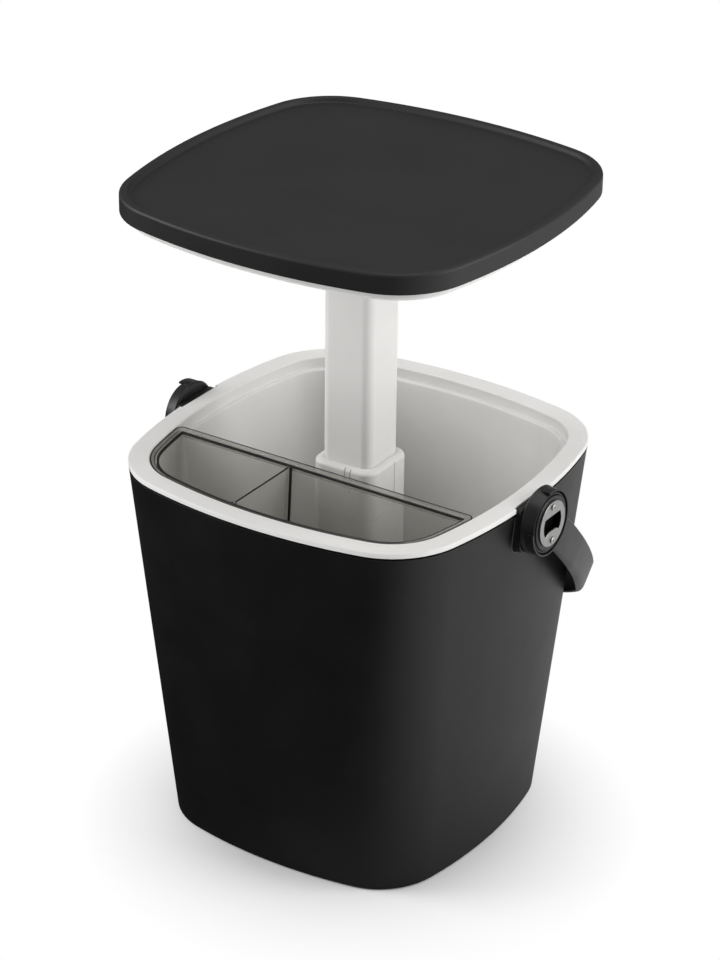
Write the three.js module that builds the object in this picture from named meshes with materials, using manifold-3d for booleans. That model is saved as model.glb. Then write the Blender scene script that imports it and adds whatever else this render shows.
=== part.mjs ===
// An ice bucket that is also a coffee table: a double-walled bucket with a table top that rises on a post,
// a hanging tray, a carrying handle and a bottle opener on the right pivot.
// Millimetres, +Z up. The origin is on the floor under the middle of the bucket.
// +X is the side with the bottle opener, -Y the front with the tray. The table top is drawn raised.

import * as THREE from 'three';
import { mergeVertices } from 'three/addons/utils/BufferGeometryUtils.js';
import Module from 'manifold-3d';

const wasm = await Module();
wasm.setup();

// Clearances that several pieces share
const seatGap = 0.3; // between two pieces that lie on each other
const slideGap = 0.4; // on each side of a piece that slides in a guide
const screwGap = 0.15; // round a screw in its hole
const overrun = 2; // how far a cutting shape runs past a face
const weldTolerance = 0.0001; // points closer than this are one point

// Bucket outline, a square with bowed sides that narrows towards the floor
const rimHeight = 404;
const wall = 3; // every moulded wall of the bucket and the table top
const rimOutline = { halfWidth: 200, bow: 550, corner: 85 };
const baseOutline = { halfWidth: 162, bow: 477, corner: 73 };

// Table top, in its raised place
const tableHeight = 686;
const tableOutline = { halfWidth: 200.5, bow: 572, corner: 80 };
const tableSkirt = 20; // height of its edge
const underPlateDrop = 10; // how far the plate under it shows below the skirt
const underPlateInset = 10;
const underPlateBottom = tableHeight - tableSkirt - underPlateDrop;

// Post and sleeve, rounded squares about the middle of the bucket
const postOutline = { halfX: 28.2, halfY: 28.2, corner: 10 };
const sleeveOutline = { halfX: 36, halfY: 36, corner: 15 };
const postWall = 3;

// Handle pivots, an axis along X
const pivotDrop = 22; // below the rim
const pivotHeight = rimHeight - pivotDrop;
const handleRestAngle = THREE.MathUtils.degToRad(43); // below level, hanging at the back

// Finishes
const blackPlastic = { color: 0x171717, roughness: 0.5, metalness: 0 };
const charcoalPlastic = { color: 0x333333, roughness: 0.6, metalness: 0 };
const greyPlastic = { color: 0xdad9d8, roughness: 0.5, metalness: 0 };
const smokePlastic = { color: 0x6a6765, roughness: 0.2, metalness: 0 };
const blackRubber = { color: 0x1b1b1b, roughness: 0.9, metalness: 0 };
const zincSteel = { color: 0xb4b4b4, roughness: 0.35, metalness: 1 };

const corners = [
  { name: 'front_left', x: -1, y: -1 },
  { name: 'front_right', x: 1, y: -1 },
  { name: 'back_left', x: -1, y: 1 },
  { name: 'back_right', x: 1, y: 1 },
];

const part = new THREE.Group();

function addPiece(name, geometry, finish, parent = part) {
  const mesh = new THREE.Mesh(geometry, new THREE.MeshStandardMaterial(finish));
  mesh.name = name;
  parent.add(mesh);
  return mesh;
}

// Outlines

// Points on an arc, its last point left to the outline's next stretch
function arc(centreX, centreY, radius, from, to, steps) {
  return Array.from({ length: steps }, (_, step) => {
    const angle = from + ((to - from) * step) / steps;
    return new THREE.Vector2(centreX + radius * Math.cos(angle), centreY + radius * Math.sin(angle));
  });
}

// Where the corner arc of a bowed square meets its side arcs: the arc's centre and the turn of the side
function cornerOf({ halfWidth, bow, corner }) {
  const reach = bow - halfWidth;
  const centre = (Math.sqrt(2 * (bow - corner) ** 2 - reach ** 2) - reach) / 2;
  return { reach, centre, turn: Math.atan2(centre, centre + reach) };
}

// A bowed square, counterclockwise from the middle of its right side
function bowedSquare(outline, inset = 0) {
  const { reach, centre, turn } = cornerOf(outline);
  const quarter = [
    ...arc(-reach, 0, outline.bow - inset, 0, turn, 3),
    ...arc(centre, centre, outline.corner - inset, turn, Math.PI / 2 - turn, 6),
    ...arc(0, -reach, outline.bow - inset, Math.PI / 2 - turn, Math.PI / 2, 3),
  ];
  const origin = new THREE.Vector2();
  return [0, 1, 2, 3].flatMap((turns) =>
    quarter.map((point) => point.clone().rotateAround(origin, (turns * Math.PI) / 2)),
  );
}

function roundedRectangle({ halfX, halfY, corner }, inset = 0, steps = 4) {
  const x = halfX - corner;
  const y = halfY - corner;
  const radius = corner - inset;
  return [
    ...roundedCorner(x, y, radius, 0, steps),
    ...roundedCorner(-x, y, radius, 1, steps),
    ...roundedCorner(-x, -y, radius, 2, steps),
    ...roundedCorner(x, -y, radius, 3, steps),
  ];
}

function roundedCorner(x, y, radius, quarter, steps) {
  const from = (quarter * Math.PI) / 2;
  const step = Math.PI / 2 / steps;
  return arc(x, y, radius, from, from + Math.PI / 2 + step, steps + 1);
}

function atHeight(outline, z) {
  return outline.map((point) => new THREE.Vector3(point.x, point.y, z));
}

// The bucket's outline at a height
function bucketOutline(z) {
  const share = z / rimHeight;
  const between = (key) => THREE.MathUtils.lerp(baseOutline[key], rimOutline[key], share);
  return { halfWidth: between('halfWidth'), bow: between('bow'), corner: between('corner') };
}

function bucketRing([inset, z]) {
  return atHeight(bowedSquare(bucketOutline(z), inset), z);
}

// Profile points of a rounded edge between a flat face and a wall, as pairs of inset and height
function roundedEdge(inset, z, radius, from, to, steps = 3) {
  return Array.from({ length: steps + 1 }, (_, step) => {
    const angle = THREE.MathUtils.degToRad(from + ((to - from) * step) / steps);
    return [inset - radius * Math.cos(angle), z + radius * Math.sin(angle)];
  });
}

// Solids

// Skins rings of points from first to last, with end faces or, looped, back to the first ring
function loft(rings, looped = false) {
  const count = rings[0].length;
  const bands = looped ? rings.length : rings.length - 1;
  const faces = [];
  for (let band = 0; band < bands; band++) {
    const low = band * count;
    const high = ((band + 1) % rings.length) * count;
    for (let i = 0; i < count; i++) {
      const next = (i + 1) % count;
      faces.push(low + i, low + next, high + next, low + i, high + next, high + i);
    }
  }
  if (!looped) {
    const last = (rings.length - 1) * count;
    for (let i = 1; i < count - 1; i++) {
      faces.push(0, i + 1, i, last, last + i, last + i + 1);
    }
  }
  const positions = rings.flat().flatMap((point) => [point.x, point.y, point.z]);
  const geometry = new THREE.BufferGeometry();
  geometry.setAttribute('position', new THREE.Float32BufferAttribute(positions, 3));
  geometry.setIndex(faces);
  geometry.computeVertexNormals();
  return geometry;
}

// Turned about Z: pairs of radius and height, up along the outside
function turned(profile, segments = 28) {
  const points = profile.map(([radius, height]) => new THREE.Vector2(radius, height));
  return welded(new THREE.LatheGeometry(points, segments).rotateX(Math.PI / 2));
}

// Turned about Z with a hole through it, its profile closed on itself
function turnedRing(profile, segments = 28) {
  return turned([...profile, profile[0]], segments);
}

function block(low, high) {
  const size = high.map((value, axis) => value - low[axis]);
  const middle = high.map((value, axis) => (value + low[axis]) / 2);
  return new THREE.BoxGeometry(...size).translate(...middle);
}

function rod(radius, bottom, top, x = 0, y = 0, segments = 16) {
  return turned([[0, bottom], [radius, bottom], [radius, top], [0, top]], segments).translate(x, y, 0);
}

// A flat shape drawn in Y and Z, thick along X
function plateAlongX(shape, from, to) {
  const geometry = new THREE.ExtrudeGeometry(shape, {
    depth: to - from,
    bevelEnabled: false,
    curveSegments: 8,
  });
  const basis = new THREE.Matrix4().makeBasis(
    new THREE.Vector3(0, 1, 0),
    new THREE.Vector3(0, 0, 1),
    new THREE.Vector3(1, 0, 0),
  );
  return welded(geometry.applyMatrix4(basis)).translate(from, 0, 0);
}

function alongX(geometry) {
  return geometry.rotateY(Math.PI / 2);
}

// The same shape on the other side of the middle plane
function mirrored(geometry) {
  const copy = geometry.clone().scale(-1, 1, 1);
  const faces = Array.from(copy.index.array);
  for (let i = 0; i < faces.length; i += 3) {
    [faces[i], faces[i + 1]] = [faces[i + 1], faces[i]];
  }
  copy.setIndex(faces);
  copy.computeVertexNormals();
  return copy;
}

// Points that share a place become one, and faces that shrink to a line go
function welded(geometry) {
  const bare = new THREE.BufferGeometry();
  bare.setAttribute('position', geometry.getAttribute('position'));
  bare.setIndex(geometry.index);
  const merged = mergeVertices(bare, weldTolerance);
  const faces = [];
  for (let i = 0; i < merged.index.count; i += 3) {
    const [a, b, c] = [0, 1, 2].map((k) => merged.index.getX(i + k));
    if (a !== b && b !== c && c !== a) faces.push(a, b, c);
  }
  merged.setIndex(faces);
  merged.computeVertexNormals();
  return merged;
}

function solidOf(geometry) {
  const { attributes, index } = welded(geometry);
  const mesh = new wasm.Mesh({
    numProp: 3,
    vertProperties: new Float32Array(attributes.position.array),
    triVerts: new Uint32Array(index.array),
  });
  return new wasm.Manifold(mesh);
}

function geometryOf(solid) {
  const mesh = solid.getMesh();
  const geometry = new THREE.BufferGeometry();
  geometry.setAttribute('position', new THREE.BufferAttribute(mesh.vertProperties, mesh.numProp));
  geometry.setIndex(new THREE.BufferAttribute(mesh.triVerts, 1));
  geometry.computeVertexNormals();
  return geometry;
}

function join(...geometries) {
  return geometryOf(geometries.map(solidOf).reduce((all, next) => all.add(next)));
}

function cut(geometry, ...tools) {
  return geometryOf(tools.map(solidOf).reduce((rest, tool) => rest.subtract(tool), solidOf(geometry)));
}

function meet(first, second) {
  return geometryOf(solidOf(first).intersect(solidOf(second)));
}

// Screws: a low round head whose underside is at zero, and a shank below it
const smallScrew = { shank: 1.6, head: 3.4, headHeight: 1.6 };
const largeScrew = { shank: 2.2, head: 4.4, headHeight: 2 };

function screw({ shank, head, headHeight }, length) {
  const crownShare = 0.7;
  return turned(
    [
      [0, -length],
      [shank, -length],
      [shank, 0],
      [head, 0],
      [head, headHeight * crownShare],
      [head * crownShare, headHeight],
      [0, headHeight],
    ],
    12,
  );
}

// Bucket sizes that several pieces meet
const lipHeight = 5.5; // the light edge of the rim
const rimWidth = 21; // the flat of the rim
const ledgeDepth = 12; // below the rim
const ledgeWidth = 5;
const ledgeChamfer = 8;
const linerInset = rimWidth + ledgeWidth;
const linerFloor = 23;
const shellFloor = wall;
const shellTop = rimHeight - lipHeight - seatGap;
const wallLean = Math.atan2(rimOutline.halfWidth - baseOutline.halfWidth, rimHeight);

// Pockets in the shell for the handle brackets
const pocket = { halfWidth: 31, drop: 30, depth: 11, corner: 12 };
const pocketFloor = rimOutline.halfWidth - pocket.depth;
const pocketBottom = pivotHeight - pocket.drop;

function pocketShape(margin, top) {
  const half = pocket.halfWidth + margin;
  const bottom = pocketBottom - margin;
  const radius = pocket.corner + margin;
  const shape = new THREE.Shape();
  shape.moveTo(half, bottom + radius);
  shape.lineTo(half, top);
  shape.lineTo(-half, top);
  shape.lineTo(-half, bottom + radius);
  shape.absarc(-half + radius, bottom + radius, radius, Math.PI, Math.PI * 1.5, false);
  shape.absarc(half - radius, bottom + radius, radius, Math.PI * 1.5, Math.PI * 2, false);
  return shape;
}

// Screws that hold each bracket from inside the shell
const bracketScrewSpread = 20; // from the middle
const bracketScrewDrop = 18; // below the pivot

// Screws that hold the liner to the shell, from below
const baseScrewSpread = 78;
const baseScrewRoom = 3.4; // depth of the hole that a screw's head hides in
const baseSeatRadius = 8; // of the raised spot on the shell's floor round it
const baseSeatTop = baseScrewRoom + wall;
const baseBossRadius = 6;
const baseBossBore = 12; // depth
const headGap = 0.4; // round a screw's head in its hole

// Drain low on the back wall, square to the wall
const drainHeight = 48;
const drainTube = { outer: 11, inner: 8 };
const drainPlace = new THREE.Matrix4()
  .makeRotationX(-(Math.PI / 2 + wallLean))
  .setPosition(0, bucketOutline(drainHeight).halfWidth, drainHeight);
const linerWallOut = (linerInset - wall) * Math.cos(wallLean);
const linerWallIn = linerInset * Math.cos(wallLean);

const drainTail = 12; // of the bush, inside the bucket
const drainSeatRadius = 19; // flat spot on the liner

function drainHole() {
  return rod(drainTube.outer + seatGap, -linerWallIn - overrun, overrun).applyMatrix4(drainPlace);
}

function drainSeat() {
  return rod(drainSeatRadius, -linerWallIn - drainTail, -linerWallIn).applyMatrix4(drainPlace);
}

// Outer shell of the bucket

const shellEdge = 3.5; // rounding where it meets its floor

function makeOuterShell() {
  const outside = loft(
    [
      ...roundedEdge(shellEdge, shellEdge, shellEdge, -90, 0),
      [0, shellTop],
    ].map(bucketRing),
  );
  const inside = loft(
    [
      ...roundedEdge(wall + shellEdge, shellFloor + shellEdge, shellEdge, -90, 0),
      [wall, shellTop + overrun],
    ].map(bucketRing),
  );
  let shell = cut(outside, inside);
  const reach = rimOutline.halfWidth + overrun;
  const pocketTub = plateAlongX(pocketShape(wall, shellTop), pocketFloor - wall, reach);
  const pocketHollow = plateAlongX(pocketShape(0, shellTop + overrun), pocketFloor, reach);
  for (const turn of [(geometry) => geometry, mirrored]) {
    shell = join(shell, meet(outside, turn(pocketTub)));
    shell = cut(shell, turn(pocketHollow));
  }
  const bracketHoles = [-1, 1].flatMap((side) =>
    [-1, 1].map((end) => {
      const hole = rod(largeScrew.shank + screwGap, pocketFloor - wall - overrun, pocketFloor + overrun);
      return alongX(hole)
        .translate(0, end * bracketScrewSpread, pivotHeight - bracketScrewDrop)
        .rotateZ(side < 0 ? Math.PI : 0);
    }),
  );
  const atScrew = (radius, bottom, top) =>
    corners.map(({ x, y }) => rod(radius, bottom, top, x * baseScrewSpread, y * baseScrewSpread));
  const seats = atScrew(baseSeatRadius, wall / 2, baseSeatTop);
  const floorHoles = [
    ...atScrew(largeScrew.shank + screwGap, -overrun, baseSeatTop + overrun),
    ...atScrew(largeScrew.head + headGap, -overrun, baseScrewRoom),
  ];
  return cut(join(shell, ...seats), drainHole(), ...bracketHoles, ...floorHoles);
}

addPiece('outer_shell', makeOuterShell(), blackPlastic);

// Inner liner, whose flange is the light rim of the bucket

const rimRounding = 1.5;
const registerRib = { thickness: 2, depth: 9, gap: 0.4 }; // hangs inside the shell's top edge
const linerEdge = 8;
const linerDraft = 0.5; // from the mouth wall into the flange

function linerProfile() {
  const outset = linerInset - wall;
  const mouthOut = rimWidth - wall;
  const flangeUnder = rimHeight - wall;
  const ribOut = wall + registerRib.gap;
  const ribIn = ribOut + registerRib.thickness;
  const ledge = rimHeight - ledgeDepth;
  return [
    ...roundedEdge(outset + linerEdge, linerFloor - wall + linerEdge, linerEdge, -90, 0),
    [outset, ledge - ledgeChamfer - wall],
    [mouthOut, ledge - wall],
    [mouthOut, flangeUnder],
    [ribIn, flangeUnder],
    [ribIn, flangeUnder - registerRib.depth],
    [ribOut, flangeUnder - registerRib.depth],
    [ribOut, rimHeight - lipHeight],
    [0, rimHeight - lipHeight],
    ...roundedEdge(rimRounding, rimHeight - rimRounding, rimRounding, 0, 90, 3),
    ...roundedEdge(rimWidth - rimRounding, rimHeight - rimRounding, rimRounding, 90, 180, 3),
    [rimWidth, ledge],
    [linerInset - linerDraft, ledge],
    [linerInset, ledge - ledgeChamfer],
    ...roundedEdge(linerInset + linerEdge, linerFloor + linerEdge, linerEdge, 0, -90),
  ];
}

// Foot of the sleeve and its screws
const sleeveFoot = { halfX: 58, halfY: 58, corner: 16, thickness: 4 };
const sleeveScrewX = 47;
const sleeveScrewY = 47;
const sleeveScrewLength = 13;
const sleeveBossRadius = 5;
const bossWall = 2; // below a blind hole

function makeInnerLiner() {
  const bowl = loft(linerProfile().map(bucketRing));
  const under = linerFloor - wall / 2;
  const bosses = corners.flatMap(({ x, y }) => [
    rod(baseBossRadius, baseSeatTop + seatGap, under, x * baseScrewSpread, y * baseScrewSpread),
    rod(
      sleeveBossRadius,
      linerFloor - sleeveScrewLength - bossWall,
      under,
      x * sleeveScrewX,
      y * sleeveScrewY,
    ),
  ]);
  const bores = corners.flatMap(({ x, y }) => [
    rod(
      largeScrew.shank + screwGap,
      baseSeatTop,
      baseSeatTop + baseBossBore,
      x * baseScrewSpread,
      y * baseScrewSpread,
    ),
    rod(
      largeScrew.shank + screwGap,
      linerFloor - sleeveScrewLength,
      linerFloor + overrun,
      x * sleeveScrewX,
      y * sleeveScrewY,
    ),
  ]);
  const ribRelief = [-1, 1].map((side) => {
    const near = side * (pocketFloor - wall - overrun);
    const far = side * (rimOutline.halfWidth + overrun);
    const half = pocket.halfWidth + wall + overrun;
    return block(
      [Math.min(near, far), -half, rimHeight - wall - registerRib.depth - overrun],
      [Math.max(near, far), half, rimHeight - lipHeight],
    );
  });
  return cut(join(bowl, ...bosses), drainHole(), drainSeat(), ...bores, ...ribRelief);
}

addPiece('inner_liner', makeInnerLiner(), greyPlastic);

// Screws from below the shell into the liner

const baseScrewLength = wall + seatGap + baseBossBore - bossWall;

for (const { name, x, y } of corners) {
  const baseScrew = addPiece(`base_screw_${name}`, screw(largeScrew, baseScrewLength), zincSteel);
  baseScrew.position.set(x * baseScrewSpread, y * baseScrewSpread, baseScrewRoom - seatGap);
  baseScrew.rotation.x = Math.PI;
}

// Sleeve that the post slides in, screwed to the liner's floor

const sleeveWall = 3;
const collarDrop = 9; // its top, below the rim
const collarTop = rimHeight - collarDrop;
const collarHeight = 55; // above the sleeve
const collarSeam = collarTop - collarHeight; // top of the sleeve, under the collar
const sleeveBottom = linerFloor + seatGap;
const sleeveDrainHalf = 9; // half width of the slots that let water out
const sleeveDrainHeight = 8;

function rectangleRing(outline) {
  return ([inset, z]) => atHeight(roundedRectangle(outline, inset), z);
}

function makePostSleeve() {
  const foot = rectangleRing(sleeveFoot);
  const tube = rectangleRing(sleeveOutline);
  const footTop = sleeveBottom + sleeveFoot.thickness;
  const sleeve = loft(
    [
      foot([0, sleeveBottom]),
      foot([0, footTop]),
      tube([0, footTop]),
      tube([0, collarSeam]),
      tube([sleeveWall, collarSeam]),
      tube([sleeveWall, sleeveBottom]),
    ],
    true,
  );
  const holes = corners.map(({ x, y }) =>
    rod(
      largeScrew.shank + screwGap,
      sleeveBottom - overrun,
      footTop + overrun,
      x * sleeveScrewX,
      y * sleeveScrewY,
    ),
  );
  const drainSlot = block(
    [-sleeveOutline.halfX - overrun, -sleeveDrainHalf, footTop],
    [sleeveOutline.halfX + overrun, sleeveDrainHalf, footTop + sleeveDrainHeight],
  );
  return cut(sleeve, drainSlot, ...holes);
}

addPiece('post_sleeve', makePostSleeve(), greyPlastic);

for (const { name, x, y } of corners) {
  const length = sleeveScrewLength + sleeveFoot.thickness - bossWall;
  addPiece(`sleeve_screw_${name}`, screw(largeScrew, length), zincSteel).position.set(
    x * sleeveScrewX,
    y * sleeveScrewY,
    sleeveBottom + sleeveFoot.thickness + seatGap,
  );
}

// Collar on top of the sleeve, which guides the post

const collarShoulder = 5;
const collarPlug = 16; // how far it reaches down inside the sleeve
const collarBottom = collarSeam - collarPlug;
const postGuide = {
  halfX: postOutline.halfX + slideGap,
  halfY: postOutline.halfY + slideGap,
  corner: postOutline.corner + slideGap,
};

function makePostCollar() {
  const outer = rectangleRing(sleeveOutline);
  const inner = rectangleRing(postGuide);
  const shoulderWidth = sleeveOutline.halfY - postGuide.halfY - slideGap;
  const shoulder = [0, 1, 2, 3, 4].map((step) => {
    const angle = (step * Math.PI) / 8;
    return outer([
      shoulderWidth * (1 - Math.cos(angle)),
      collarTop - collarShoulder * (1 - Math.sin(angle)),
    ]);
  });
  return loft(
    [
      outer([sleeveWall + seatGap, collarBottom]),
      outer([sleeveWall + seatGap, collarSeam + seatGap]),
      outer([0, collarSeam + seatGap]),
      ...shoulder,
      inner([0, collarTop]),
      inner([0, collarBottom]),
    ],
    true,
  );
}

addPiece('post_collar', makePostCollar(), greyPlastic);

// Post with a closed head flange, let into the plate under the table top

const postHead = { halfX: 50, halfY: 50, corner: 12, thickness: 4 };
const headScrewX = 40;
const headScrewY = 40;
const headRecess = 2; // depth of the holes for the screw heads
const postHeadTop = underPlateBottom + seatGap + postHead.thickness;
const guideTop = collarBottom - seatGap; // the guide stops the post under the collar
const guideHeight = 42;
const guideSole = 10; // solid below the post's end
const guideBottom = guideTop - guideHeight;
const postBottom = guideBottom + guideSole + seatGap;
const guidePinDrop = 15; // below the top of the guide
const guidePin = { radius: 2.5, height: guideTop - guidePinDrop };

function headScrewPlaces() {
  return corners.map(({ name, x, y }) => ({ name, x: x * headScrewX, y: y * headScrewY }));
}

function makeInnerPost() {
  const tube = rectangleRing(postOutline);
  const head = rectangleRing(postHead);
  const headBottom = postHeadTop - postHead.thickness;
  const post = loft([
    tube([postWall, headBottom - postWall]),
    tube([postWall, postBottom]),
    tube([0, postBottom]),
    tube([0, headBottom]),
    head([0, headBottom]),
    head([0, postHeadTop]),
  ]);
  const holes = headScrewPlaces().flatMap(({ x, y }) => [
    rod(smallScrew.shank + screwGap, headBottom - overrun, postHeadTop + overrun, x, y),
    rod(
      smallScrew.head + headGap,
      headBottom - overrun,
      headBottom + headRecess,
      x,
      y,
    ),
  ]);
  return cut(post, pinHole(), ...holes);
}

// Hole along Y for the pin that holds the foot guide on the post
function pinHole() {
  const half = sleeveOutline.halfY + overrun;
  return rod(guidePin.radius + screwGap, -half, half)
    .rotateX(Math.PI / 2)
    .translate(0, 0, guidePin.height);
}

addPiece('inner_post', makeInnerPost(), greyPlastic);

// Guide on the foot of the post, with a brake pad on its left and right

const brakePad = { halfY: 8, halfZ: 12, thickness: 3.4, below: 18 };
const brakeGap = 0.15; // from the pad's face to the sleeve
const guideInset = sleeveWall + slideGap;

function brakeHeight() {
  return guideTop - brakePad.below;
}

function brakePocket(side, gap) {
  const face = sleeveOutline.halfX - sleeveWall - brakeGap;
  const back = face - brakePad.thickness - gap;
  const front = gap > 0 ? face + overrun : face;
  return block(
    [Math.min(side * back, side * front), -brakePad.halfY - gap, brakeHeight() - brakePad.halfZ - gap],
    [Math.max(side * back, side * front), brakePad.halfY + gap, brakeHeight() + brakePad.halfZ + gap],
  );
}

function makeFootGuide() {
  const outer = rectangleRing(sleeveOutline);
  const socket = rectangleRing({
    halfX: postOutline.halfX + seatGap,
    halfY: postOutline.halfY + seatGap,
    corner: postOutline.corner + seatGap,
  });
  const guide = loft([
    outer([guideInset, guideBottom]),
    outer([guideInset, guideTop]),
    socket([0, guideTop]),
    socket([0, guideBottom + guideSole]),
  ]);
  return cut(guide, pinHole(), brakePocket(-1, seatGap), brakePocket(1, seatGap));
}

addPiece('foot_guide', makeFootGuide(), greyPlastic);
addPiece('brake_pad_left', brakePocket(-1, 0), blackRubber);
addPiece('brake_pad_right', brakePocket(1, 0), blackRubber);

const pinHalf = sleeveOutline.halfY - guideInset - seatGap;
addPiece('guide_pin', rod(guidePin.radius, -pinHalf, pinHalf), zincSteel)
  .rotateX(Math.PI / 2)
  .position.set(0, 0, guidePin.height);

// Table top: a shallow box open below, its surface inside a raised rounded lip

const lip = { crestWidth: 8.5, rounding: 3.5, surfaceDrop: 4.6, fall: 4 };
const skirtWall = 3.5;
const skirtEdge = 1;
const topInnerEdge = 3;
const tableRib = { halfThickness: 1.5, depth: 9, place: 78 };
const topBossRadius = 6;
const plateScrewSpread = 118;
const plateScrewLength = 14;
const tableUnder = tableHeight - lip.surfaceDrop - wall; // underside of its top wall
const skirtBottom = tableHeight - tableSkirt;
const plateRib = 2; // how much thicker the under plate is round a screw
const platePadTop = underPlateBottom + wall + plateRib;

function tableRing([inset, z]) {
  return atHeight(bowedSquare(tableOutline, inset), z);
}

function makeTableTop() {
  const surface = tableHeight - lip.surfaceDrop;
  const shell = loft(
    [
      ...roundedEdge(skirtWall + topInnerEdge, tableUnder - topInnerEdge, topInnerEdge, 90, 0, 3),
      [skirtWall, skirtBottom],
      ...roundedEdge(skirtEdge, skirtBottom + skirtEdge, skirtEdge, -90, 0, 2),
      ...roundedEdge(lip.rounding, tableHeight - lip.rounding, lip.rounding, 0, 90),
      [lip.crestWidth - lip.fall / 2, tableHeight],
      [lip.crestWidth, tableHeight - lip.surfaceDrop / 2],
      [lip.crestWidth + lip.fall / 2, surface],
    ].map(tableRing),
  );
  const bosses = corners.map(({ x, y }) =>
    rod(
      topBossRadius,
      platePadTop + seatGap,
      tableUnder + wall / 2,
      x * plateScrewSpread,
      y * plateScrewSpread,
    ),
  );
  const bores = corners.map(({ x, y }) =>
    rod(
      largeScrew.shank + screwGap,
      platePadTop,
      platePadTop + plateScrewLength - bossWall,
      x * plateScrewSpread,
      y * plateScrewSpread,
    ),
  );
  const { halfWidth, bow } = tableOutline;
  const ribCircle = bow - underPlateInset - wall - overrun;
  const half = halfWidth - bow + Math.sqrt(ribCircle ** 2 - (tableRib.place + tableRib.halfThickness) ** 2);
  const ribs = [-1, 1].flatMap((side) => {
    const low = side * tableRib.place - tableRib.halfThickness;
    const high = side * tableRib.place + tableRib.halfThickness;
    const bottom = tableUnder - tableRib.depth;
    const top = tableUnder + wall / 2;
    return [
      block([-half, low, bottom], [half, high, top]),
      block([low, -half, bottom], [high, half, top]),
    ];
  });
  return cut(join(shell, ...ribs, ...bosses), ...bores);
}

addPiece('table_top', makeTableTop(), charcoalPlastic);

// Plate under the table top, a light dish that carries the post's head

const plateEdge = 3;
const headMargin = 4; // of the raised field round the post's head
const headBossRadius = 4.5;
const headScrewLength = 12;

function makeUnderPlate() {
  const wallTop = tableUnder - seatGap;
  const inner = underPlateInset + wall;
  const dish = loft(
    [
      ...roundedEdge(underPlateInset + plateEdge, underPlateBottom + plateEdge, plateEdge, -90, 0, 3),
      [underPlateInset, wallTop - topInnerEdge],
      [inner, wallTop],
      [inner, underPlateBottom + wall],
    ].map(tableRing),
  );
  const field = rectangleRing({
    halfX: postHead.halfX + headMargin,
    halfY: postHead.halfY + headMargin,
    corner: postHead.corner + headMargin,
  });
  const fieldTop = postHeadTop + seatGap + wall;
  const raised = loft([field([0, underPlateBottom]), field([0, fieldTop])]);
  const recess = rectangleRing({
    halfX: postHead.halfX + slideGap,
    halfY: postHead.halfY + slideGap,
    corner: postHead.corner + slideGap,
  });
  const hollow = loft([recess([0, underPlateBottom - overrun]), recess([0, postHeadTop + seatGap])]);
  const headBosses = headScrewPlaces().map(({ x, y }) =>
    rod(headBossRadius, fieldTop - wall / 2, postHeadTop + headScrewLength - headRecess, x, y),
  );
  const headBores = headScrewPlaces().map(({ x, y }) =>
    rod(
      smallScrew.shank + screwGap,
      postHeadTop,
      postHeadTop + headScrewLength - headRecess - bossWall,
      x,
      y,
    ),
  );
  const pads = corners.map(({ x, y }) =>
    rod(
      topBossRadius + plateRib,
      underPlateBottom + wall / 2,
      platePadTop,
      x * plateScrewSpread,
      y * plateScrewSpread,
    ),
  );
  const padHoles = corners.flatMap(({ x, y }) => [
    rod(
      largeScrew.shank + screwGap,
      underPlateBottom - overrun,
      platePadTop + overrun,
      x * plateScrewSpread,
      y * plateScrewSpread,
    ),
    rod(
      largeScrew.head + headGap,
      underPlateBottom - overrun,
      plateScrewSeat(),
      x * plateScrewSpread,
      y * plateScrewSpread,
    ),
  ]);
  return cut(join(dish, raised, ...headBosses, ...pads), hollow, ...headBores, ...padHoles);
}

// Height of the face that the screws of the table top pull against
function plateScrewSeat() {
  return underPlateBottom + largeScrew.headHeight + seatGap;
}

addPiece('under_plate', makeUnderPlate(), greyPlastic);

for (const { name, x, y } of corners) {
  const plateScrew = addPiece(`plate_screw_${name}`, screw(largeScrew, plateScrewLength), zincSteel);
  plateScrew.position.set(x * plateScrewSpread, y * plateScrewSpread, plateScrewSeat() - seatGap / 2);
  plateScrew.rotation.x = Math.PI;
}

const headScrewSeat = postHeadTop - postHead.thickness + headRecess;
for (const { name, x, y } of headScrewPlaces()) {
  const headScrew = addPiece(`head_screw_${name}`, screw(smallScrew, headScrewLength - bossWall), zincSteel);
  headScrew.position.set(x, y, headScrewSeat - seatGap / 2);
  headScrew.rotation.x = Math.PI;
}

// Condiment tray, which hangs on the ledge in the front of the bucket's mouth

const trayRimDrop = 0.8; // below the bucket's rim
const trayFlangeDrop = 2.6;
const tray = {
  back: 64.5, // from the middle of the bucket to its back edge
  backCorner: 10,
  rimTop: rimHeight - trayRimDrop,
  rimWall: 1.6,
  flangeTop: rimHeight - trayFlangeDrop,
  flangeWidth: 7.2,
  wall: 2,
  depth: 76, // below its flange
  edge: 6,
  taper: 5, // how much narrower its floor is
};
const trayInset = rimWidth + slideGap;
const trayFloor = tray.flangeTop - tray.depth;
const trayFoot = rimHeight - ledgeDepth + seatGap;

// Outline of the tray: the bucket's outline in front, a straight edge behind
function trayOutline([inset, z]) {
  const outline = bucketOutline(z);
  const { reach, centre, turn } = cornerOf(outline);
  const into = trayInset + inset;
  const radius = outline.bow - into;
  const rounding = Math.max(tray.backCorner - inset, tray.wall);
  const backY = -tray.back - inset;
  const sideEnd = Math.asin((tray.back + inset + rounding) / radius);
  const sideX = radius * Math.cos(sideEnd) - reach;
  const right = [
    ...arc(0, reach, radius, -Math.PI / 2, -Math.PI / 2 + turn, 3),
    ...arc(centre, -centre, outline.corner - into, -Math.PI / 2 + turn, -turn, 6),
    ...arc(-reach, 0, radius, -turn, -sideEnd, 2),
    ...arc(sideX - rounding, backY - rounding, rounding, 0, Math.PI / 2, 4),
    new THREE.Vector2(sideX - rounding, backY),
  ];
  const left = right
    .slice(1)
    .reverse()
    .map((point) => new THREE.Vector2(-point.x, point.y));
  return [...right, ...left];
}

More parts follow.
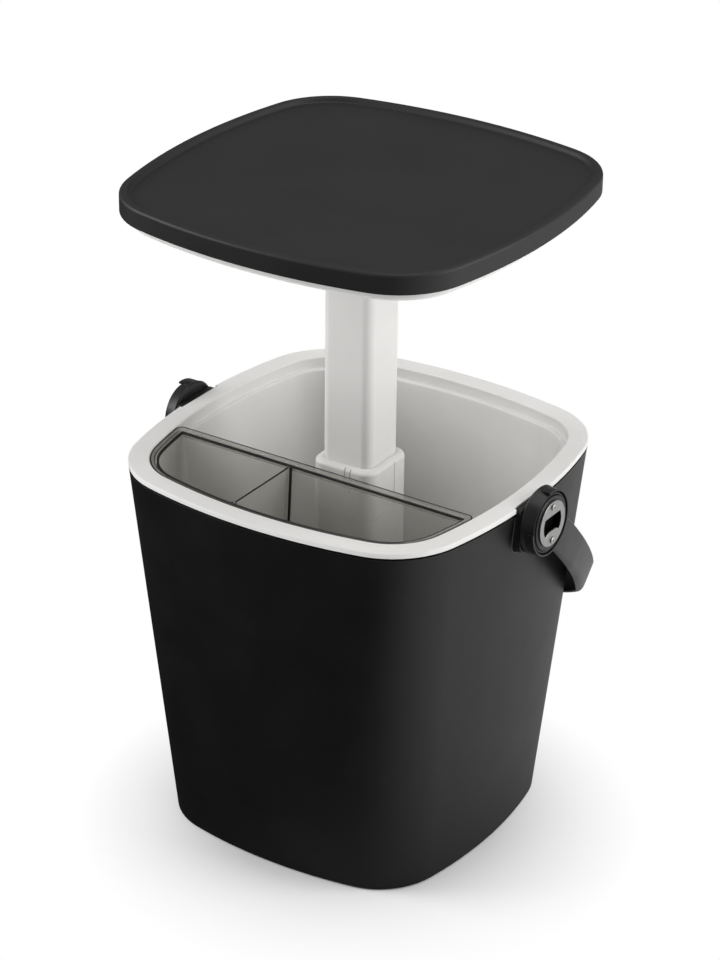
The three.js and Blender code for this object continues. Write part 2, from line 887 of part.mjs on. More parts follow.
function trayRing(level) {
  return atHeight(trayOutline(level), level[1]);
}

// Inset of the tray's inner face at a height
function trayInner(z) {
  const share = (tray.flangeTop - z) / tray.depth;
  return tray.rimWall + tray.flangeWidth + tray.taper * share;
}

const trayRimEdge = 0.4;
const dividerDrop = 0.6; // its top, below the tray's flange
const divider = {
  x: -34,
  halfThickness: 1.1,
  top: tray.flangeTop - dividerDrop,
  gap: 0.3,
  endGap: 0.8,
};
const dividerRib = { width: 1.6, depth: 2.5, bury: 1 };

// Y of the tray's inner front and back faces at the divider
function trayFaces(z) {
  const inset = trayInner(z);
  const { bow, halfWidth } = bucketOutline(z);
  const radius = bow - trayInset - inset;
  const front = bow - halfWidth - Math.sqrt(radius ** 2 - divider.x ** 2);
  return { front, back: -tray.back - inset };
}

function makeTray() {
  const outer = (inset, z) => [inset - tray.wall, z];
  const bottom = trayFloor - tray.wall;
  const floorInset = trayInner(trayFloor);
  const body = loft(
    [
      ...roundedEdge(floorInset - tray.wall + tray.edge, bottom + tray.edge, tray.edge, -90, 0, 3),
      outer(trayInner(tray.flangeTop), tray.flangeTop - tray.wall),
      [tray.rimWall, tray.flangeTop - tray.wall],
      [tray.rimWall, trayFoot],
      [0, trayFoot],
      [0, tray.rimTop - trayRimEdge],
      [trayRimEdge, tray.rimTop],
      [tray.rimWall - trayRimEdge, tray.rimTop],
      [tray.rimWall, tray.rimTop - trayRimEdge],
      [tray.rimWall, tray.flangeTop],
      [trayInner(tray.flangeTop) - trayRimEdge, tray.flangeTop],
      [trayInner(tray.flangeTop), tray.flangeTop - trayRimEdge],
      ...roundedEdge(floorInset + tray.edge, trayFloor + tray.edge, tray.edge, 0, -90, 3),
    ].map(trayRing),
  );
  const low = trayFloor + tray.edge;
  const ribs = [-1, 1].flatMap((side) => {
    const near = divider.x + side * (divider.halfThickness + divider.gap);
    const far = near + side * dividerRib.width;
    return [
      ['front', 1],
      ['back', -1],
    ].map(([face, inward]) => {
      const at = (z, depth) => [trayFaces(z)[face] + inward * depth, z];
      const shape = new THREE.Shape(
        [
          at(low, -dividerRib.bury),
          at(divider.top, -dividerRib.bury),
          at(divider.top, dividerRib.depth),
          at(low, dividerRib.depth),
        ].map(([y, z]) => new THREE.Vector2(y, z)),
      );
      return plateAlongX(shape, Math.min(near, far), Math.max(near, far));
    });
  });
  return join(body, ...ribs);
}

addPiece('condiment_tray', makeTray(), smokePlastic);

function makeDivider() {
  const low = trayFloor + divider.gap;
  const edge = trayFloor + tray.edge;
  const at = (z, face, inward) => new THREE.Vector2(trayFaces(z)[face] + inward, z);
  const shape = new THREE.Shape([
    new THREE.Vector2(trayFaces(edge).back - tray.edge, low),
    at(edge, 'back', -divider.endGap),
    at(divider.top, 'back', -divider.endGap),
    at(divider.top, 'front', divider.endGap),
    at(edge, 'front', divider.endGap),
    new THREE.Vector2(trayFaces(edge).front + tray.edge, low),
  ]);
  return plateAlongX(shape, divider.x - divider.halfThickness, divider.x + divider.halfThickness);
}

addPiece('tray_divider', makeDivider(), smokePlastic);

// Handle brackets: a block in each pocket of the shell, and a hub that the handle's eye turns on

const bracketDrop = 0.5; // its top, below the rim
const bracket = { margin: -1.5, face: 203.6, noseBack: 200.5, top: rimHeight - bracketDrop };
const hub = { radius: 22, end: 212 };
const capScrewSpread = 17.8; // above and below the pivot
const capScrewLength = 9;
const bracketScrewLength = 12;

function makeBracket() {
  const lower = plateAlongX(
    pocketShape(bracket.margin, rimHeight - lipHeight - seatGap),
    pocketFloor + seatGap,
    bracket.face,
  );
  const half = pocket.halfWidth + bracket.margin;
  const nose = block([bracket.noseBack, -half, pivotHeight], [bracket.face, half, bracket.top]);
  const boss = alongX(rod(hub.radius, bracket.noseBack, hub.end, 0, 0, 36)).translate(0, 0, pivotHeight);
  const capBores = [-1, 1].map((end) =>
    alongX(rod(smallScrew.shank + screwGap, hub.end - capScrewLength, hub.end + overrun)).translate(
      0,
      0,
      pivotHeight + end * capScrewSpread,
    ),
  );
  const backBores = [-1, 1].map((end) =>
    alongX(
      rod(largeScrew.shank + screwGap, pocketFloor, pocketFloor + bracketScrewLength),
    ).translate(0, end * bracketScrewSpread, pivotHeight - bracketScrewDrop),
  );
  return cut(join(lower, nose, boss), ...capBores, ...backBores);
}

const sides = [
  { name: 'right', turn: 0 },
  { name: 'left', turn: Math.PI },
];

for (const { name, turn } of sides) {
  const side = new THREE.Group();
  side.rotation.z = turn;
  part.add(side);
  addPiece(`bracket_${name}`, makeBracket(), blackPlastic, side);
  for (const [row, end] of [
    ['front', -1],
    ['back', 1],
  ]) {
    const length = bracketScrewLength + wall - bossWall;
    const bracketScrew = addPiece(`bracket_screw_${name}_${row}`, screw(largeScrew, length), zincSteel, side);
    const across = turn ? -end : end;
    bracketScrew.position.set(
      pocketFloor - wall - seatGap,
      across * bracketScrewSpread,
      pivotHeight - bracketScrewDrop,
    );
    bracketScrew.rotation.y = -Math.PI / 2;
  }
}

// Hub caps. The right one is hollow behind the opener

const cap = { radius: 28.1, back: hub.end + seatGap, face: 219.9, chamfer: 1 };
const opener = {
  radius: 23.4,
  thickness: 1.6,
  gap: 0.2,
  mouth: 16.4, // radius of the sides of its opening
  top: 8.7, // of the opening, above the middle
  bottom: 10.4, // of its corners, below the middle
  tooth: 7.3, // of the tooth, below the middle
  toothHalf: 7,
};
const mouthDepth = 6;
const mouthMargin = 0.8;

function openerMouth(margin) {
  const radius = opener.mouth + margin;
  const top = opener.top + margin;
  const bottom = opener.bottom + margin;
  const tooth = opener.tooth + margin;
  const half = opener.toothHalf - margin;
  const from = Math.asin(top / radius);
  const to = -Math.asin(bottom / radius);
  const shape = new THREE.Path();
  shape.moveTo(-radius * Math.cos(from), top);
  shape.lineTo(radius * Math.cos(from), top);
  shape.absarc(0, 0, radius, from, to, true);
  shape.lineTo(half, -tooth);
  shape.lineTo(-half, -tooth);
  shape.lineTo(-radius * Math.cos(to), -bottom);
  shape.absarc(0, 0, radius, Math.PI - to, Math.PI - from, true);
  return shape;
}

function capHoles(from, to) {
  return [-1, 1].map((end) =>
    alongX(rod(smallScrew.shank + screwGap, from - overrun, to + overrun)).translate(
      0,
      0,
      end * capScrewSpread,
    ),
  );
}

function makeCap(hollow) {
  const disc = alongX(
    turned(
      [
        [0, cap.back],
        [cap.radius, cap.back],
        [cap.radius, cap.face - cap.chamfer],
        [cap.radius - cap.chamfer, cap.face],
        [0, cap.face],
      ],
      36,
    ),
  );
  const holes = capHoles(cap.back, cap.face);
  if (hollow) {
    const mouth = new THREE.Shape(openerMouth(mouthMargin).getPoints(10));
    holes.push(plateAlongX(mouth, cap.face - mouthDepth, cap.face + overrun));
  }
  return cut(disc, ...holes);
}

const openerBack = cap.face + opener.gap;
const openerFace = openerBack + opener.thickness;

function makeOpener() {
  const disc = new THREE.Shape();
  disc.absarc(0, 0, opener.radius, 0, Math.PI * 2, false);
  disc.holes.push(openerMouth(0));
  return cut(plateAlongX(disc, openerBack, openerFace), ...capHoles(openerBack, openerFace));
}

addPiece('hub_cap_right', makeCap(true), blackPlastic).position.z = pivotHeight;
const leftCap = addPiece('hub_cap_left', makeCap(false), blackPlastic);
leftCap.position.z = pivotHeight;
leftCap.rotation.z = Math.PI;
addPiece('opener_plate', makeOpener(), zincSteel).position.z = pivotHeight;

for (const [row, end] of [
  ['lower', -1],
  ['upper', 1],
]) {
  const reach = (face) => face - hub.end + capScrewLength - bossWall;
  const openerScrew = addPiece(`opener_screw_${row}`, screw(smallScrew, reach(openerFace)), zincSteel);
  openerScrew.position.set(openerFace + seatGap / 2, 0, pivotHeight + end * capScrewSpread);
  openerScrew.rotation.y = Math.PI / 2;

  const capScrew = addPiece(`cap_screw_left_${row}`, screw(smallScrew, reach(cap.face)), zincSteel);
  capScrew.position.set(-cap.face - seatGap / 2, 0, pivotHeight + end * capScrewSpread);
  capScrew.rotation.y = -Math.PI / 2;
}

// Handle: a wide strap with two bowed arms, a round grip and an eye on each hub.
// It is drawn level, reaching back along +Y from the pivot, and then hung at its rest angle.

const eye = { back: 204, face: 218.5, backRadius: 34.5, faceRadius: 30.5, step: 2 };
const eyeLip = { inner: 32.6, outer: 34.6, back: 207, face: 219.7 };
const eyeLipEnds = [140, -137].map(THREE.MathUtils.degToRad); // open towards the top and front
const strap = { thickness: 4, gripThickness: 7, halfWidth: 18.2, face: 218, start: 24, crease: 25 };
const strapEdgeShare = 0.32; // of its thickness that each edge is bevelled by
const armBow = { radius: 545, start: 10 };
const grip = { radius: 234.5, centre: 53 };

// Half of the strap's outer face in plan: bowed arm, rounded crease, round grip
function strapPath() {
  const armX = strap.face - armBow.radius;
  const away = Math.atan2(grip.centre - armBow.start, -armX);
  const apart = Math.hypot(armX, grip.centre - armBow.start);
  const armReach = armBow.radius - strap.crease;
  const gripReach = grip.radius - strap.crease;
  const along = (apart ** 2 + armReach ** 2 - gripReach ** 2) / (2 * apart);
  const armTo = away + Math.acos(along / armReach);
  const creaseX = armX + armReach * Math.cos(armTo);
  const creaseY = armBow.start + armReach * Math.sin(armTo);
  const gripFrom = Math.atan2(creaseY - grip.centre, creaseX);
  const armFrom = Math.asin((strap.start - armBow.start) / armBow.radius);
  return [
    ...arc(armX, armBow.start, armBow.radius, armFrom, armTo, 5),
    ...arc(creaseX, creaseY, strap.crease, armTo, gripFrom, 3),
    ...arc(0, grip.centre, grip.radius, gripFrom, Math.PI / 2, 7),
    new THREE.Vector2(0, grip.centre + grip.radius),
  ];
}

// Section of the strap, thin at the eyes and thick from the crease on
function strapSection(reach) {
  const share = THREE.MathUtils.smoothstep(reach, strap.start, grip.centre + grip.radius / 2);
  const thickness = THREE.MathUtils.lerp(strap.thickness, strap.gripThickness, share);
  const corner = strapEdgeShare * thickness;
  const { halfWidth } = strap;
  return [
    [0, halfWidth - corner],
    [-corner, halfWidth],
    [corner - thickness, halfWidth],
    [-thickness, halfWidth - corner],
    [-thickness, corner - halfWidth],
    [corner - thickness, -halfWidth],
    [-corner, -halfWidth],
    [0, corner - halfWidth],
  ];
}

function makeStrap() {
  const right = strapPath();
  const left = right
    .slice(0, -1)
    .reverse()
    .map((point) => new THREE.Vector2(-point.x, point.y));
  const path = [...right, ...left];
  const rings = path.map((point, i) => {
    const before = path[Math.max(i - 1, 0)];
    const after = path[Math.min(i + 1, path.length - 1)];
    const along = after.clone().sub(before).normalize();
    const outward = new THREE.Vector2(along.y, -along.x);
    return strapSection(point.y).map(
      ([out, across]) =>
        new THREE.Vector3(point.x + outward.x * out, point.y + outward.y * out, -across),
    );
  });
  return loft(rings);
}

function makeEye() {
  const drum = alongX(
    turnedRing(
      [
        [hub.radius + slideGap, eye.back],
        [eye.backRadius, eye.back],
        [eye.backRadius, eye.back + eye.step],
        [eye.faceRadius, eye.face],
        [cap.radius + slideGap, eye.face],
        [cap.radius + slideGap, hub.end],
        [hub.radius + slideGap, hub.end],
      ],
      36,
    ),
  );
  const [from, to] = eyeLipEnds;
  const lipShape = new THREE.Shape();
  lipShape.absarc(0, 0, eyeLip.outer, to, from, false);
  lipShape.absarc(0, 0, eyeLip.inner, from, to, true);
  return join(drum, plateAlongX(lipShape, eyeLip.back, eyeLip.face));
}

function makeHandle() {
  const eyes = [makeEye(), mirrored(makeEye())];
  const reach = (from) => alongX(rod(cap.radius + slideGap, from, eye.face + overrun, 0, 0, 36));
  const capRoom = reach(hub.end);
  return cut(join(makeStrap(), ...eyes), capRoom, mirrored(capRoom));
}

const handle = addPiece('handle', makeHandle(), blackPlastic);
handle.position.z = pivotHeight;
handle.rotation.x = -handleRestAngle;

// Drain through both walls, closed by a push-in plug

const drainFlange = { radius: 18, thickness: 3, gap: 0.4 };
const drainSeal = { radius: 16, thickness: 2 };
const drainNut = { radius: 17, thickness: 6 };
const drainPlug = { head: 13, headHeight: 5, length: 22, gap: 0.3 };

const drain = new THREE.Group();
drain.applyMatrix4(drainPlace);
part.add(drain);

const flangeFace = drainFlange.gap + drainFlange.thickness;
const bush = turnedRing([
  [drainTube.inner, -linerWallIn - drainTail],
  [drainTube.outer, -linerWallIn - drainTail],
  [drainTube.outer, drainFlange.gap],
  [drainFlange.radius, drainFlange.gap],
  [drainFlange.radius, flangeFace],
  [drainTube.inner, flangeFace],
]);
addPiece('drain_bush', bush, greyPlastic, drain);

function drainRing(radius, top, thickness, segments) {
  return turnedRing(
    [
      [drainTube.outer + seatGap, top - thickness],
      [radius, top - thickness],
      [radius, top],
      [drainTube.outer + seatGap, top],
    ],
    segments,
  );
}

const sealTop = -linerWallIn - seatGap;
addPiece('drain_seal', drainRing(drainSeal.radius, sealTop, drainSeal.thickness, 32), blackRubber, drain);
const nutTop = sealTop - drainSeal.thickness - seatGap;
addPiece('drain_nut', drainRing(drainNut.radius, nutTop, drainNut.thickness, 24), greyPlastic, drain);

const plugFace = flangeFace + seatGap;
const plug = turned([
  [0, plugFace - drainPlug.length],
  [drainTube.inner - drainPlug.gap, plugFace - drainPlug.length],
  [drainTube.inner - drainPlug.gap, plugFace],
  [drainPlug.head, plugFace],
  [drainPlug.head, plugFace + drainPlug.headHeight],
  [0, plugFace + drainPlug.headHeight],
]);
addPiece('drain_plug', plug, blackRubber, drain);

export default part;
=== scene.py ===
import math

import bmesh
import bpy
from mathutils import Matrix, Vector


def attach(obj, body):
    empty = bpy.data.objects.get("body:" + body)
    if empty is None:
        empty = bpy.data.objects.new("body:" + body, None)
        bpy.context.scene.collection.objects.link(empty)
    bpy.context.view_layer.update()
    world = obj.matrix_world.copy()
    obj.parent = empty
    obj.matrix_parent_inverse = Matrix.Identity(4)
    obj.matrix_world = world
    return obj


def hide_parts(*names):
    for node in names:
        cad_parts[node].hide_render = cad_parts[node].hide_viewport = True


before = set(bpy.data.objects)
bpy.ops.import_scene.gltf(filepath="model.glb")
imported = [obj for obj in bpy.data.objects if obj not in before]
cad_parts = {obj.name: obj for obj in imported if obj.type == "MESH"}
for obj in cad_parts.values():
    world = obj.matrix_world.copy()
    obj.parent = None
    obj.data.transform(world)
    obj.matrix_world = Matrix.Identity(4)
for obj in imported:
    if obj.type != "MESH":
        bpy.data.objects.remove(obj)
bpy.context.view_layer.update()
scene = bpy.context.scene
print("stage: frame loaded")

mm = 0.001
quarterTurn = math.pi / 2
past = 2  # how far a cut runs past the surface that it opens, in millimetres
hair = 0.01  # a radius next to nothing, where a ring of points has to stay a ring


def pick(sizes, names):  # the named sizes, in that order
    return [sizes[name] for name in names.split()]


# Outlines, in millimetres


def arcPoints(centreX, centreY, radius, start, end, steps):  # the end is left to the next stretch
    angles = [start + (end - start) * i / steps for i in range(steps)]
    return [(centreX + radius * math.cos(a), centreY + radius * math.sin(a)) for a in angles]


def cornerOf(shape):  # reach of the side arcs, centre of the corner arc, turn of a side
    reach = shape["bow"] - shape["halfWidth"]
    centre = (math.sqrt(2 * (shape["bow"] - shape["corner"]) ** 2 - reach ** 2) - reach) / 2
    return reach, centre, math.atan2(centre, centre + reach)


def bowedSquare(shape, inset=0.0, sideSteps=8, cornerSteps=12):
    reach, centre, turn = cornerOf(shape)
    bow, corner = shape["bow"] - inset, shape["corner"] - inset
    points = arcPoints(-reach, 0, bow, 0, turn, sideSteps)
    points += arcPoints(centre, centre, corner, turn, quarterTurn - turn, cornerSteps)
    points += arcPoints(0, -reach, bow, quarterTurn - turn, quarterTurn, sideSteps)
    outline = []
    for _ in range(4):
        outline += points
        points = [(-y, x) for x, y in points]
    return outline


def roundedBox(shape, inset=0.0, steps=8):
    x, y = shape["halfX"] - shape["corner"], shape["halfY"] - shape["corner"]
    radius = max(shape["corner"] - inset, hair)
    outline = []
    for quarter, (cx, cy) in enumerate([(x, y), (-x, y), (-x, -y), (x, -y)]):
        start = quarter * quarterTurn
        outline += arcPoints(cx, cy, radius, start, start + quarterTurn * (1 + 1 / steps), steps + 1)
    return outline


def edgeArc(inset, z, radius, start, end, steps=6):  # rounded edge as pairs of inset and height
    angles = [math.radians(start + (end - start) * i / steps) for i in range(steps + 1)]
    return [(inset - radius * math.cos(a), z + radius * math.sin(a)) for a in angles]


def atHeight(outline, z):
    return [(x, y, z) for x, y in outline]


# Meshes


def addObject(name, mesh):
    obj = bpy.data.objects.new(name, mesh)
    scene.collection.objects.link(obj)
    return obj


def meshOf(name, vertices, faces):
    mesh = bpy.data.meshes.new(name)
    mesh.from_pydata([(x * mm, y * mm, z * mm) for x, y, z in vertices], [], faces)
    mesh.validate()
    return addObject(name, mesh)


def loft(name, rings, looped=False):
    count = len(rings[0])
    bands = len(rings) if looped else len(rings) - 1
    faces = []
    for band in range(bands):
        low, high = band * count, (band + 1) % len(rings) * count
        for i in range(count):
            j = (i + 1) % count
            faces.append((low + i, low + j, high + j, high + i))
    if not looped:
        last = (len(rings) - 1) * count
        faces.append(tuple(reversed(range(count))))
        faces.append(tuple(range(last, last + count)))
    return meshOf(name, [point for ring in rings for point in ring], faces)


def turned(name, profile, steps=72, closed=False):  # radius and height, up along the outside
    rings = [atHeight(arcPoints(0, 0, r, 0, 2 * math.pi, steps), z) for r, z in profile]
    return loft(name, rings, looped=closed)


def box(name, low, high):
    x0, y0, z0 = low
    x1, y1, z1 = high
    ring = [(x0, y0), (x1, y0), (x1, y1), (x0, y1)]
    return loft(name, [atHeight(ring, z0), atHeight(ring, z1)])


def place(obj, matrix):
    obj.data.transform(matrix)
    return obj


def move(x=0.0, y=0.0, z=0.0):
    return Matrix.Translation((x * mm, y * mm, z * mm))


alongX = Matrix.Rotation(quarterTurn, 4, "Y")  # turns +Z to +X
halfTurn = Matrix.Rotation(math.pi, 4, "Z")
upsideDown = Matrix.Rotation(math.pi, 4, "X")
faceX = Matrix(((0, 0, 1, 0), (1, 0, 0, 0), (0, 1, 0, 0), (0, 0, 0, 1)))  # flat X, Y, Z to Y, Z, X
bothTurns = (Matrix.Identity(4), halfTurn)  # for what the right and the left share
corners = [("front_left", -1, -1), ("front_right", 1, -1), ("back_left", -1, 1), ("back_right", 1, 1)]


def finalMesh(obj):
    return bpy.data.meshes.new_from_object(obj.evaluated_get(bpy.context.evaluated_depsgraph_get()))


def applyModifiers(obj):
    mesh = finalMesh(obj)
    obj.modifiers.clear()
    obj.data = mesh
    return obj


def weld(obj):
    obj.modifiers.new("weld", "WELD").merge_threshold = hair * mm
    return applyModifiers(obj)


def plate(name, loops, low, high, edge=0.0, steps=3):  # flat loops in Y and Z, thick along X
    curve = bpy.data.curves.new(name, "CURVE")
    curve.dimensions, curve.fill_mode = "2D", "BOTH"
    curve.extrude = ((high - low) / 2 - edge) * mm
    curve.bevel_depth, curve.bevel_resolution, curve.offset = edge * mm, steps, -edge * mm
    for loop in loops:
        spline = curve.splines.new("POLY")
        spline.points.add(len(loop) - 1)
        for point, (a, b) in zip(spline.points, loop):
            point.co = (a * mm, b * mm, 0, 1)
        spline.use_cyclic_u = True
    holder = addObject(name + "Curve", curve)
    mesh = finalMesh(holder)
    bpy.data.objects.remove(holder)
    mesh.name = name
    return place(weld(addObject(name, mesh)), move((low + high) / 2) @ faceX)


def combine(obj, operation, others):
    for other in others:
        modifier = obj.modifiers.new("cut", "BOOLEAN")
        modifier.operation, modifier.object, modifier.solver = operation, other, "EXACT"
    applyModifiers(obj)
    for other in others:
        bpy.data.objects.remove(other)
    return obj


def carve(obj, *others):
    return combine(obj, "DIFFERENCE", others)


def fuse(obj, *others):
    return combine(obj, "UNION", others)


def soften(obj, degrees=32):  # smooth faces, true edges kept
    obj.data.polygons.foreach_set("use_smooth", [True] * len(obj.data.polygons))
    obj.data.set_sharp_from_angle(angle=math.radians(degrees))
    modifier = obj.modifiers.new("normals", "WEIGHTED_NORMAL")
    modifier.keep_sharp = True
    return obj


def piece(obj, body, look, slot, *nodes):
    obj.data.materials.clear()
    obj.data.materials.append(look)
    soften(obj)
    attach(obj, body)
    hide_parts(*nodes)
    return obj


def lookWhere(obj, look, isThere):  # a second material on some faces of a piece, here the painted shade
    obj.data.materials.append(look)
    for face in obj.data.polygons:
        if isThere(face.center / mm, face.normal):
            face.material_index = len(obj.data.materials) - 1


def addPart(obj, other, look):  # a loose part of the same piece, in its own material, here the painted highlight
    obj.data.materials.append(look)
    both = bmesh.new()
    both.from_mesh(obj.data)
    count = len(both.faces)
    both.from_mesh(other.data)
    both.faces.ensure_lookup_table()
    for face in both.faces[count:]:
        face.material_index, face.smooth = len(obj.data.materials) - 1, True
    both.to_mesh(obj.data)
    both.free()
    bpy.data.objects.remove(other)


# Materials


def linear(code):  # sRGB hex to the colour that the renderer works in
    parts = [int(code[i:i + 2], 16) / 255 for i in (1, 3, 5)]
    return tuple(p / 12.92 if p <= 0.04045 else ((p + 0.055) / 1.055) ** 2.4 for p in parts) + (1.0,)


def newLook(name):
    material = bpy.data.materials.new(name)
    material.use_nodes = True
    material.node_tree.nodes.clear()
    return material, material.node_tree


def addNode(tree, kind, inputs=None, **settings):
    made = tree.nodes.new("ShaderNode" + kind)
    for key, value in settings.items():
        setattr(made, key, value)
    for key, value in (inputs or {}).items():
        socket = made.inputs[key]
        if isinstance(value, bpy.types.NodeSocket):
            tree.links.new(value, socket)
        else:
            socket.default_value = value
    return made


def onPiece(tree):  # the place on the piece, which stays when the piece moves
    return addNode(tree, "TexCoord").outputs["Object"]


def noise(tree, where, size, detail=3.0):  # size of the pattern in millimetres
    made = addNode(tree, "TexNoise", {"Vector": where, "Scale": 1 / (size * mm), "Detail": detail})
    return made.outputs[0]


def between(tree, share, low, high, fromLow=0.3, fromHigh=0.7):
    made = addNode(tree, "MapRange", {"Value": share, "From Min": fromLow, "From Max": fromHigh,
                                      "To Min": low, "To Max": high})
    return made.outputs["Result"]


def twoTone(tree, share, look):  # the colour and its slight change from place to place
    share = between(tree, share, 0, 1)
    sockets = {0: share, 6: linear(look["color"]), 7: linear(look["tone"])}
    return addNode(tree, "Mix", sockets, data_type="RGBA").outputs[2]


def relief(tree, look, height):  # fine grain or scratches, on softly rounded edges
    rounded = addNode(tree, "Bevel", {"Radius": look["edge"] * mm}, samples=4)
    made = addNode(tree, "Bump", {"Strength": look["bump"], "Distance": look["depth"] * mm,
                                  "Height": height, "Normal": rounded.outputs[0]})
    return made.outputs[0]


def mixed(tree, share, first, second):
    return addNode(tree, "MixShader", {0: share, 1: first.outputs[0], 2: second.outputs[0]})


def show(tree, surface, kind="OutputMaterial"):
    addNode(tree, kind, {"Surface": surface.outputs[0]})


def moulded(name, look):  # injection-moulded plastic with a fine grain
    look = {"ior": 1.49, "gloss": 0.5, "depth": 0.05, **look}
    material, tree = newLook(name)
    where = onPiece(tree)
    cloud = noise(tree, where, look["cloud"])
    grain = noise(tree, where, look["grain"], 2.0)
    color = twoTone(tree, cloud, look)
    rough = between(tree, cloud, look["rough"] - look["spread"], look["rough"] + look["spread"])
    surface = addNode(tree, "BsdfPrincipled", {
        "Base Color": color, "Roughness": rough, "IOR": look["ior"],
        "Normal": relief(tree, look, grain), "Specular IOR Level": look["gloss"]})
    show(tree, surface)
    return material


# the near-black satin skin of the bucket, broad soft sheen on the lit side
shellPlastic = moulded("black polypropylene, fine matte", {
    "color": "#0e0e0f", "tone": "#121213", "cloud": 60, "grain": 0.35, "rough": 0.46, "spread": 0.03,
    "bump": 0.25, "edge": 0.7})
# painted highlight: the rounded edge round the handle's pockets, coloured lighter to give a thin light line
highlightPlastic = moulded("black polypropylene, painted highlight", {
    "color": "#2e2e2e", "tone": "#343434", "cloud": 20, "grain": 0.3, "rough": 0.3, "spread": 0.03,
    "bump": 0.1, "edge": 0.2})
# slightly lighter and flatter than the bucket, a broad even field of charcoal
topPlastic = moulded("charcoal polypropylene, matte", {
    "color": "#191919", "tone": "#1d1d1d", "cloud": 80, "grain": 0.4, "rough": 0.55, "spread": 0.03,
    "bump": 0.3, "edge": 0.5})
# the glossier black of the handle, brackets and caps, with sharper highlights
handlePlastic = moulded("black polypropylene, satin", {
    "color": "#151515", "tone": "#191919", "cloud": 30, "grain": 0.3, "rough": 0.36, "spread": 0.04,
    "bump": 0.15, "edge": 0.5})
# the very light grey of rim, liner, post and under plate, soft satin
greyPlastic = moulded("light grey polypropylene, satin", {
    "color": "#dddcda", "tone": "#e3e2e0", "cloud": 70, "grain": 0.4, "rough": 0.42, "spread": 0.04,
    "bump": 0.15, "edge": 0.6})
# dull and dark, for plug, seal and brake pads
blackRubber = moulded("black rubber, matte", {
    "color": "#1a1a1a", "tone": "#202020", "cloud": 12, "grain": 0.3, "rough": 0.8, "spread": 0.05,
    "bump": 0.35, "edge": 0.5, "ior": 1.52})
# painted shade: the unlit black inside the bottle opener's mouth and on the shell's top below the rim
shadePlastic = moulded("black polypropylene, painted shade", {
    "color": "#050505", "tone": "#080808", "cloud": 20, "grain": 0.4, "rough": 0.9, "spread": 0.05,
    "bump": 0.3, "edge": 0.2, "gloss": 0.05})


def smokedPlastic(name, look):  # tinted see-through plastic, denser where it is seen edge on
    material, tree = newLook(name)
    cloud = noise(tree, onPiece(tree), look["cloud"])
    color = twoTone(tree, cloud, look)
    smooth, dull = look["rough"]
    rough = between(tree, cloud, smooth, dull)
    haze = addNode(tree, "BsdfPrincipled", {
        "Base Color": color, "Roughness": rough, "IOR": look["ior"], "Specular IOR Level": look["gloss"]})
    clear = addNode(tree, "BsdfTransparent", {"Color": linear(look["tint"])})
    edgeOn = addNode(tree, "LayerWeight", {"Blend": look["blend"]}).outputs["Facing"]
    share = between(tree, edgeOn, look["body"], look["bodyEdge"], 0.0, 1.0)
    surface = mixed(tree, share, clear, haze)
    show(tree, surface)
    return material


# the smoke-grey tray, its walls seen through but clearly tinted
trayPlastic = smokedPlastic("smoke-grey styrene, glossy", {
    "color": "#b0afab", "tone": "#b8b7b3", "tint": "#f2f1ef", "cloud": 40, "rough": (0.14, 0.19), "ior": 1.55,
    "body": 0.2, "bodyEdge": 0.55, "blend": 0.35, "gloss": 0.3})
# painted shade: the near-black lines where the tray is looked at edge on, on its rim's top, brink and groove
trayShade = smokedPlastic("smoke-grey styrene, painted shade", {
    "color": "#131212", "tone": "#1a1919", "tint": "#3a3937", "cloud": 20, "rough": (0.28, 0.33), "ior": 1.55,
    "body": 0.93, "bodyEdge": 1.0, "blend": 0.35, "gloss": 0.3})


def brushedMetal(name, look):  # fine scratches along one way
    material, tree = newLook(name)
    stretched = addNode(tree, "Mapping", {"Vector": onPiece(tree), "Scale": look["stretch"]})
    scratch = noise(tree, stretched.outputs[0], look["scratch"], 4.0)
    color = twoTone(tree, scratch, look)
    rough = between(tree, scratch, look["rough"] - look["spread"], look["rough"] + look["spread"])
    surface = addNode(tree, "BsdfPrincipled", {
        "Base Color": color, "Metallic": 1.0, "Roughness": rough,
        "Normal": relief(tree, look, scratch)})
    show(tree, surface)
    return material


# the bright round plate of the bottle opener
openerSteel = brushedMetal("brushed stainless steel", {
    "color": "#b9b9b8", "tone": "#a6a6a5", "stretch": (1, 1, 0.06), "scratch": 0.6, "rough": 0.34,
    "spread": 0.06, "bump": 0.3, "depth": 0.02, "edge": 0.25})
# screws and the guide pin, a little duller
zincSteel = brushedMetal("zinc-plated steel", {
    "color": "#cfcfcc", "tone": "#b9b9b5", "stretch": (1, 1, 1), "scratch": 1.2, "rough": 0.38,
    "spread": 0.06, "bump": 0.15, "depth": 0.02, "edge": 0.15})
print("stage: materials")

# Bucket

bucket = {
    "rim": {"halfWidth": 200, "bow": 550, "corner": 85}, "base": {"halfWidth": 162, "bow": 477, "corner": 73},
    "height": 404, "wall": 3, "bottomEdge": 3.5, "shellTop": 396.8, "topEdge": 0.4, "shadowDrop": 0.24,
    "bands": (60, 120, 180, 240, 300, 350), "innerBand": 200}
liner = {
    "rimWidth": 21, "inset": 26, "floor": 23, "edge": 8, "ledge": 392, "ledgeEdge": 1, "under": 384,
    "lip": 398.5, "lipEdge": 0.5, "round": 1.5, "bands": (250, 120),
    "rib": {"outer": 3.4, "inner": 5.4, "low": 392}, "step": {"edge": 1.2, "inset": 1.7},
    "relief": {"x": 184, "deep": 20, "half": 36, "low": 390, "drop": 0.05},
    "notch": {"x": 196, "deep": 10, "low": 396}}
pivotHeight = 382
pocket = {
    "halfWidth": 31, "bottom": 352, "corner": 12, "floor": 189, "reach": 210,
    "tubOver": 1, "tubDrop": 0.05, "hollowOver": 4,
    "leftArc": (1, 1.625), "rightArc": (1.5, 2 + 1 / 12), "arcSteps": 13,  # arcs in half turns
    "bead": {"radius": 0.9, "into": 0.4, "drop": 2, "steps": 12}}
